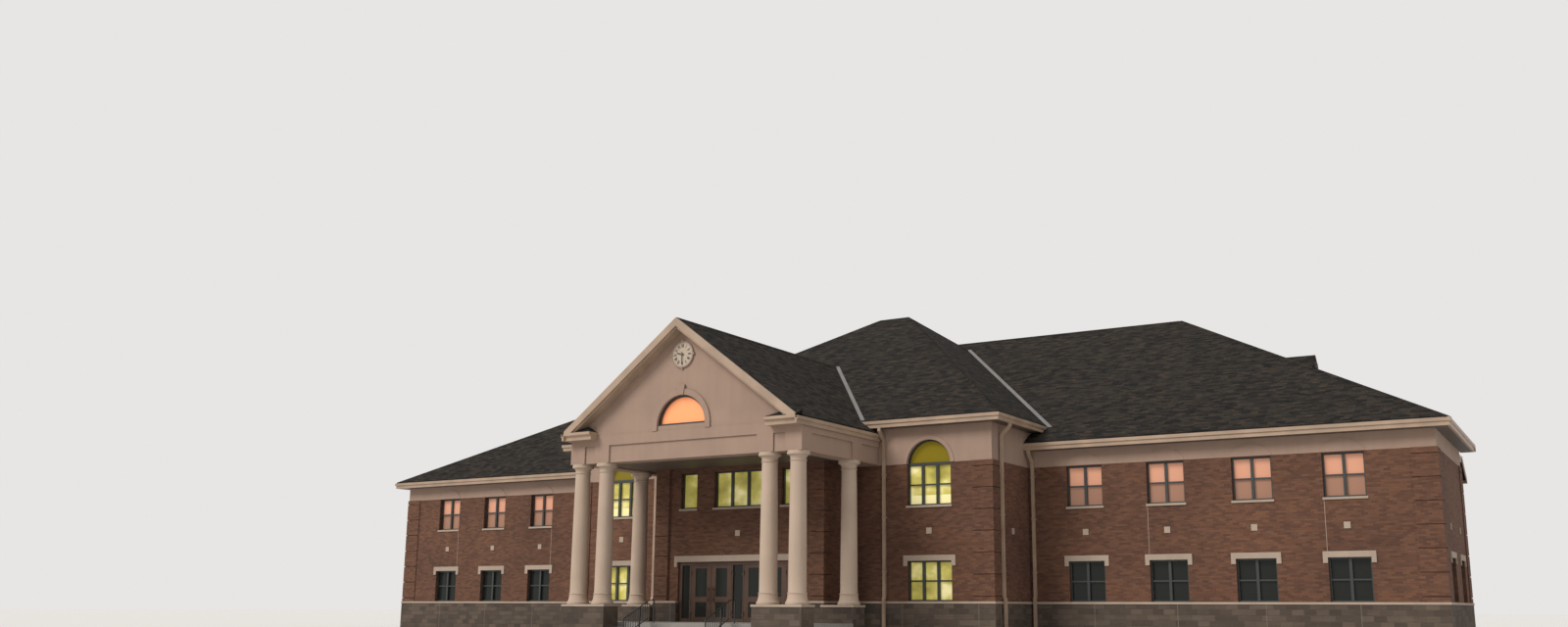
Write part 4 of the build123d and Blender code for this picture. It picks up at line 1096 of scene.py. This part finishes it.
@dataclass
class RidgeCaps(Assembly):
    """The shingle caps along ridges and hips.

    A hip's foot is given by how far it lies behind the eave's front and how far above it.
    """

    name: str = "ridge_and_hip_caps"
    slot: Slot = Slot.SHINGLES
    exposure: float = 0.075
    half_width: float = 0.07
    thickness: float = 0.005
    tilt: float = 0.004
    overlap: float = 1.5
    wing_hip_fall: float = 0.40
    block_hip_fall: float = 0.44
    hip_inset: float = 0.03
    wing_foot: Spot = (0.03, 0.017)
    block_foot: Spot = (0.036, 0.021)
    raised_inset: float = 0.02
    gable_inset: float = 0.04

    def lines(self) -> list[RoofLine]:
        """Work out where the three roofs' slopes meet.

        Returns:
            Every ridge and hip, each from its lower end.
        """
        wing_eave, block_eave = HALF_LENGTH + OVERHANG, HALF_BLOCK + OVERHANG
        ridge_y = FRONT + RIDGE_REACH
        ridge_z = EAVE_TOP + SLOPE * (RIDGE_REACH + OVERHANG)
        ridge_end = wing_eave - (ridge_z - EAVE_TOP) / END_SLOPE
        raised_x = SIDE_FACE + OVERHANG - self.raised_inset
        raised_z = EAVE_TOP + END_SLOPE * (wing_eave - raised_x)
        raised_y = REAR + OVERHANG - (raised_z - EAVE_TOP) / SLOPE
        block_y = FRONT + BLOCK_RIDGE_REACH
        block_z = BLOCK_EAVE_TOP + SLOPE * (BLOCK_RIDGE_REACH + BLOCK_REACH + OVERHANG)
        block_end = block_eave - (block_z - BLOCK_EAVE_TOP) / BLOCK_SIDE_SLOPE
        back = (block_z - EAVE_TOP - SLOPE * (BLOCK_RIDGE_REACH + OVERHANG)) / (2 * SLOPE)
        portico_end = BLOCK_FRONT - OVERHANG + (PORTICO_APEX - BLOCK_EAVE_TOP) / SLOPE
        wing_top, block_top = (ridge_end, ridge_y, ridge_z), (block_end, block_y, block_z)
        hips = [
            ((wing_eave - self.hip_inset, FRONT - OVERHANG + self.wing_foot[0],
              EAVE_TOP + self.wing_foot[1]), wing_top, self.wing_hip_fall),
            ((raised_x, raised_y, raised_z), wing_top, self.wing_hip_fall),
            ((block_eave - self.hip_inset, BLOCK_FRONT - OVERHANG + self.block_foot[0],
              BLOCK_EAVE_TOP + self.block_foot[1]), block_top, self.block_hip_fall),
            ((block_end + back * SLOPE / BLOCK_SIDE_SLOPE, block_y + back,
              block_z - SLOPE * back), block_top, self.block_hip_fall)]
        ridges = [RoofLine((-x, y, z), (x, y, z), SLOPE) for x, y, z in (wing_top, block_top)]
        ridges.append(RoofLine((0, GABLE_FRONT + self.gable_inset, PORTICO_APEX),
                               (0, portico_end, PORTICO_APEX), PORTICO_SLOPE))
        return ridges + [RoofLine((side * foot[0], *foot[1:]), (side * top[0], *top[1:]), fall)
                         for side in SIDES for foot, top, fall in hips]

    def cap(self, fall: float) -> Maker:
        """Bend one cap along Y, tilted up at its lower end so that it overlaps.

        Args:
            fall: How fast its two wings fall.

        Returns:
            The maker that holds it.
        """
        half, drop, low = self.half_width, self.half_width * fall, self.tilt
        high = low + self.thickness
        maker = Maker()
        maker.sweep([(-half, 0, low - drop), (0, 0, low), (half, 0, low - drop),
                     (half, 0, high - drop), (0, 0, high), (-half, 0, high - drop)],
                    Vector((0, self.exposure * self.overlap, -low)))
        return maker

    def meshes(self) -> list[Mesh]:
        """Lay the caps from the eaves up.

        Returns:
            One mesh a ridge or hip.
        """
        meshes = []
        for line in self.lines():
            reach = Vector(line.end) - Vector(line.start)
            turn = (atan2(reach.z, hypot(reach.x, reach.y)), 0, atan2(reach.y, reach.x) - pi / 2)
            row = Row(int(reach.length / self.exposure), line.start,
                      tuple(reach.normalized() * self.exposure), turn)
            meshes += self.repeat(self.cap(line.fall), [row])
        return meshes


@dataclass
class Vents(Assembly):
    """The louvres in the gabled roof vents."""

    name: str = "vent_louvres"
    # The louvres take the dark soffit paint: painted shade inside the vents.
    slot: Slot = Slot.SOFFIT_PAINT
    slats: int = 9
    pitch: float = 0.042
    slat: Point = (0.016, 0.34, 0.024)
    tilt: float = 0.7
    face: float = 9.304
    foot: float = 5.42

    def meshes(self) -> list[Mesh]:
        """Set tilted slats across each vent's face.

        Returns:
            One mesh a vent.
        """
        rows = [Row(self.slats, (side * self.face, FRONT + RIDGE_REACH, self.foot),
                    (0, 0, self.pitch), (0, side * self.tilt, 0)) for side in SIDES]
        return self.repeat(block(self.slat), rows)


@dataclass
class Handrails(Assembly):
    """The balusters and the lower rail of both handrails."""

    name: str = "handrail_balusters"
    slot: Slot = Slot.RAIL_METAL
    x: float = 0.9
    rise: float = 82 / 180
    spacing: float = 0.066
    foot_reach: float = 4.857
    head_reach: float = 4.167
    baluster: Point = (0.009, 0.009, 0.31)
    baluster_middle: float = 0.24
    rail_half: float = 0.008
    rail_height: float = 0.014
    rail_lift: float = 0.085

    def meshes(self) -> list[Mesh]:
        """Stand the balusters on a lower rail that follows the flight.

        Returns:
            A mesh of balusters a side, and one of both rails.
        """
        foot = FRONT - self.foot_reach
        run = self.foot_reach - self.head_reach
        start = foot + self.spacing
        middle = (FLOOR_TOP + self.baluster_middle
                  + self.rise * (start - (FRONT - PLATFORM_REACH)))
        rows = [Row(int(run / self.spacing), (side * self.x, start, middle),
                    (0, self.spacing, self.rise * self.spacing)) for side in SIDES]
        low = FLOOR_TOP + self.rail_lift + self.rise * (-self.foot_reach + PLATFORM_REACH)
        high = low + self.rail_height
        rails = Maker()
        for side in SIDES:
            left, right = side * self.x - self.rail_half, side * self.x + self.rail_half
            rails.sweep([(left, foot, low), (right, foot, low), (right, foot, high),
                         (left, foot, high)], Vector((0, run, run * self.rise)))
        return [*self.repeat(block(self.baluster), rows), rails.shape("lower_rails")]


@dataclass
class ClockNumerals(Assembly):
    """Roman numerals and minute marks on the dial."""

    name: str = "dial_numerals"
    slot: Slot = Slot.CLOCK_HANDS
    centre: Point = (0, GABLE_FACE - 0.0205, CLOCK_HEIGHT)
    hours: str = "XII I II III IIII V VI VII VIII IX X XI"
    size: float = 0.088
    thickness: float = 0.0008
    boldness: float = 0.0016
    spread: float = 0.85
    narrowing: float = 0.66
    numeral_radius: float = 0.158
    track_radius: float = 0.212
    hour_mark: float = 0.004
    minute_mark: float = 0.0018
    mark_length: float = 0.014

    def numeral(self, word: str) -> Mesh:
        """Write one numeral, flat and about the origin.

        Args:
            word: Its letters.

        Returns:
            The mesh of it.
        """
        curve = bpy.data.curves.new("numeral", "FONT")
        curve.body, curve.size, curve.space_character = word, self.size, self.spread
        curve.extrude, curve.offset = self.thickness, self.boldness
        curve.align_x, curve.align_y = "CENTER", "CENTER"
        mesh = plain_mesh(link("numeral", curve))
        bpy.data.curves.remove(curve)
        return mesh

    def meshes(self) -> list[Mesh]:
        """Set the numerals upright on their own radii, inside the minute marks.

        Returns:
            A mesh an hour, and one of the marks.
        """
        on_dial = Matrix.Translation(self.centre) @ Matrix.Rotation(pi / 2, 4, "X")
        narrow = Matrix.Diagonal((self.narrowing, 1, 1, 1))
        meshes = []
        for hour, word in enumerate(self.hours.split()):
            spoke = (Matrix.Rotation(-hour * tau / 12, 4, "Z")
                     @ Matrix.Translation((0, self.numeral_radius, 0)))
            mesh = self.numeral(word)
            mesh.transform(on_dial @ spoke @ narrow)
            meshes.append(mesh)
        marks = Maker()
        for minute in range(60):
            width = self.minute_mark if minute % 5 else self.hour_mark
            marks.cube(on_dial @ Matrix.Rotation(-minute * tau / 60, 4, "Z")
                       @ Matrix.Translation((0, self.track_radius, 0))
                       @ Matrix.Diagonal((width, self.mark_length, 2 * self.thickness, 1)))
        return [*meshes, marks.shape("minute_marks")]


@dataclass
class ReturnCaps(Assembly):
    """The small shingled roofs on the cornice returns."""

    name: str = "return_caps"
    slot: Slot = Slot.SHINGLES
    inner: float = 1.96
    hip: float = 0.22
    foot: float = 3.841
    rise: float = 0.12
    gap: float = 0.001

    def meshes(self) -> list[Mesh]:
        """Cover each return with a hipped slope.

        Returns:
            Both caps in one mesh.
        """
        maker = Maker()
        back, top = GABLE_FACE - self.gap, self.foot + self.rise
        for side in SIDES:
            inner, hip, outer = (side * x for x in (self.inner, self.inner + self.hip,
                                                    PORTICO_HALF))
            maker.faces([(inner, GABLE_FRONT, self.foot), (outer, GABLE_FRONT, self.foot),
                         (outer, back, self.foot), (inner, back, self.foot),
                         (hip, back, top), (outer, back, top)],
                        [(0, 1, 2, 3), (0, 1, 5, 4), (1, 2, 5), (3, 0, 4), (2, 3, 4, 5)])
        return [maker.shape(self.name)]


@dataclass
class Flashings(Assembly):
    """The metal strips where the portico's roof meets the block's."""

    name: str = "portico_flashings"
    slot: Slot = Slot.FLASHING
    width: float = 0.085
    thickness: float = 0.004
    foot: float = 4.10

    def meshes(self) -> list[Mesh]:
        """Lay a strip up each side of the junction, on the block's slope.

        Returns:
            Both strips in one mesh.
        """
        maker = Maker()
        eave = BLOCK_FRONT - OVERHANG
        low_y = eave + (self.foot - BLOCK_EAVE_TOP) / SLOPE
        high_y = eave + (PORTICO_APEX - BLOCK_EAVE_TOP) / SLOPE
        low_x = (PORTICO_APEX - self.foot) / PORTICO_SLOPE
        for side in SIDES:
            maker.sweep([(side * low_x, low_y, self.foot),
                         (side * (low_x + self.width), low_y, self.foot),
                         (side * self.width, high_y, PORTICO_APEX), (0, high_y, PORTICO_APEX)],
                        Vector((0, 0, self.thickness)))
        return [maker.shape(self.name)]


@dataclass
class MovementJoints(Assembly):
    """The sealed joints in the brick beside two of each wing's windows."""

    name: str = "movement_joints"
    slot: Slot = Slot.LIMESTONE
    width: float = 0.008
    proud: float = 0.001
    bedded: float = 0.01
    windows: tuple[int, int] = (1, 3)
    beside: float = 0.3455
    foot: float = 1.569
    top: float = 2.435

    def meshes(self) -> list[Mesh]:
        """Run a strip of sealant between the sill and the hood below it.

        Returns:
            The strips in one mesh.
        """
        maker = Maker()
        for side in SIDES:
            for window in self.windows:
                x = side * (FIRST_WINDOW + PITCH * window - self.beside)
                maker.box((x - self.width / 2, FRONT - self.proud, self.foot),
                          (x + self.width / 2, FRONT + self.bedded, self.top))
        return [maker.shape(self.name)]


@dataclass
class PipeStraps(Assembly):
    """The straps that hold the downspouts to the walls."""

    name: str = "downspout_straps"
    slot: Slot = Slot.EAVE_PAINT
    half: float = 0.032
    reach: float = 0.077
    heights: tuple[float, ...] = (1.25, 2.25, 3.05)
    tall: float = 0.03
    gable_pipe: float = 2.7
    wing_pipe: float = 4.984
    rear_pipe: float = 10.806
    block_pipe: float = 0.332

    def meshes(self) -> list[Mesh]:
        """Wrap three straps round each pipe.

        Returns:
            The straps in one mesh.
        """
        maker = Maker()
        pipes = ((self.gable_pipe, BLOCK_FRONT, -1), (self.wing_pipe, FRONT, -1),
                 (self.rear_pipe, REAR, 1))
        y = BLOCK_FRONT + self.block_pipe
        for side in SIDES:
            left, right = sorted((side * HALF_BLOCK, side * (HALF_BLOCK + self.reach)))
            for z in self.heights:
                for x, face, outward in pipes:
                    near, far = sorted((face, face + outward * self.reach))
                    maker.box((side * x - self.half, near, z),
                              (side * x + self.half, far, z + self.tall))
                maker.box((left, y - self.half, z), (right, y + self.half, z + self.tall))
        return [maker.shape(self.name)]


@dataclass(frozen=True)
class Studio:
    """The camera at the photograph's angle, the pale floor and the soft light.

    The shift is in pixels of the photograph, whose width stands beside it.
    """

    lens: float = 30.0
    sensor: float = 36.0
    far: float = 400
    place: Point = (14.381, -26.475, 0.613)
    yaw: float = 30.424
    tilt: float = 10.934
    roll: float = 0.192
    shift: Spot = (-55.11, 42.33)
    photo_width: float = 1600
    floor_half: float = 150.0
    floor_top: float = -0.001
    floor_colour: Colour = (0.72, 0.71, 0.69)
    sun_colour: Colour = (1.0, 0.95, 0.90)
    sun_turn: Point = (52, 0, -28)
    sun_width: float = 25
    sun_strength: float = 2.3
    sky: Colour = (0.64, 0.635, 0.63)
    backdrop: Colour = (0.80, 0.79, 0.78)

    def camera(self) -> None:
        """Aim the camera."""
        data = bpy.data.cameras.new("camera")
        data.sensor_width, data.lens, data.clip_end = self.sensor, self.lens, self.far
        data.shift_x, data.shift_y = (pixels / self.photo_width for pixels in self.shift)
        holder = link("camera", data)
        turn = (Matrix.Rotation(radians(self.yaw), 4, "Z")
                @ Matrix.Rotation(pi / 2 + radians(self.tilt), 4, "X")
                @ Matrix.Rotation(radians(self.roll), 4, "Z"))
        holder.matrix_world = Matrix.Translation(self.place) @ turn
        bpy.context.scene.camera = holder

    def floor(self) -> None:
        """Lay a wide pale floor under the building."""
        half, low = self.floor_half, self.floor_top
        data = bpy.data.meshes.new("studio_floor")
        data.from_pydata([(-half, -half, low), (half, -half, low), (half, half, low),
                          (-half, half, low)], [], [(0, 1, 2, 3)])
        material, graph = new_material("studio_floor")
        shader = graph.node("ShaderNodeBsdfPrincipled", {}, {
            "Base Color": (*self.floor_colour, 1), "Roughness": 0.9})
        graph.node("ShaderNodeOutputMaterial", {}, {"Surface": shader})
        data.materials.append(material)
        floor = link("studio_floor", data)

    def light(self) -> None:
        """Hang a soft sun and a pale sky, which the camera, metal and glass see as a backdrop."""
        sun = bpy.data.lights.new("soft_sun", "SUN")
        sun.energy, sun.angle, sun.color = (self.sun_strength, radians(self.sun_width),
                                            self.sun_colour)
        link("soft_sun", sun).rotation_euler = Euler([radians(part) for part in self.sun_turn])
        world = bpy.data.worlds.new("pale_sky")
        bpy.context.scene.world = world
        world.use_nodes = True
        graph = Graph(world.node_tree)
        camera = graph.node("ShaderNodeLightPath", output="Is Camera Ray")
        seen = camera | camera.other("Is Glossy Ray") | camera.other("Is Transmission Ray")
        soft, pale = (graph.node("ShaderNodeBackground", {}, {0: (*colour, 1)})
                      for colour in (self.sky, self.backdrop))
        shader = graph.node("ShaderNodeMixShader", {}, {0: seen, 1: soft, 2: pale})
        graph.node("ShaderNodeOutputWorld", {}, {"Surface": shader})


def main() -> None:
    """Build the studio, the finishes and each assembly in order."""
    logging.basicConfig(level=logging.INFO, format="%(message)s")
    studio = Studio()
    studio.camera()
    studio.light()
    studio.floor()
    bpy.context.scene.view_settings.view_transform = "Standard"
    finishes = Finishes.build()
    finishes.dress_solids(frame["record"])
    repeater = Repeater()
    for kind in (Columns, Piers, Sashes, RidgeCaps, Vents, Handrails, ClockNumerals, ReturnCaps,
                 Flashings, MovementJoints, PipeStraps):
        for piece in kind(finishes, repeater).build():
            log.info("%s: %d faces", piece.name, len(piece.data.polygons))


if __name__ == "__main__":
    main()
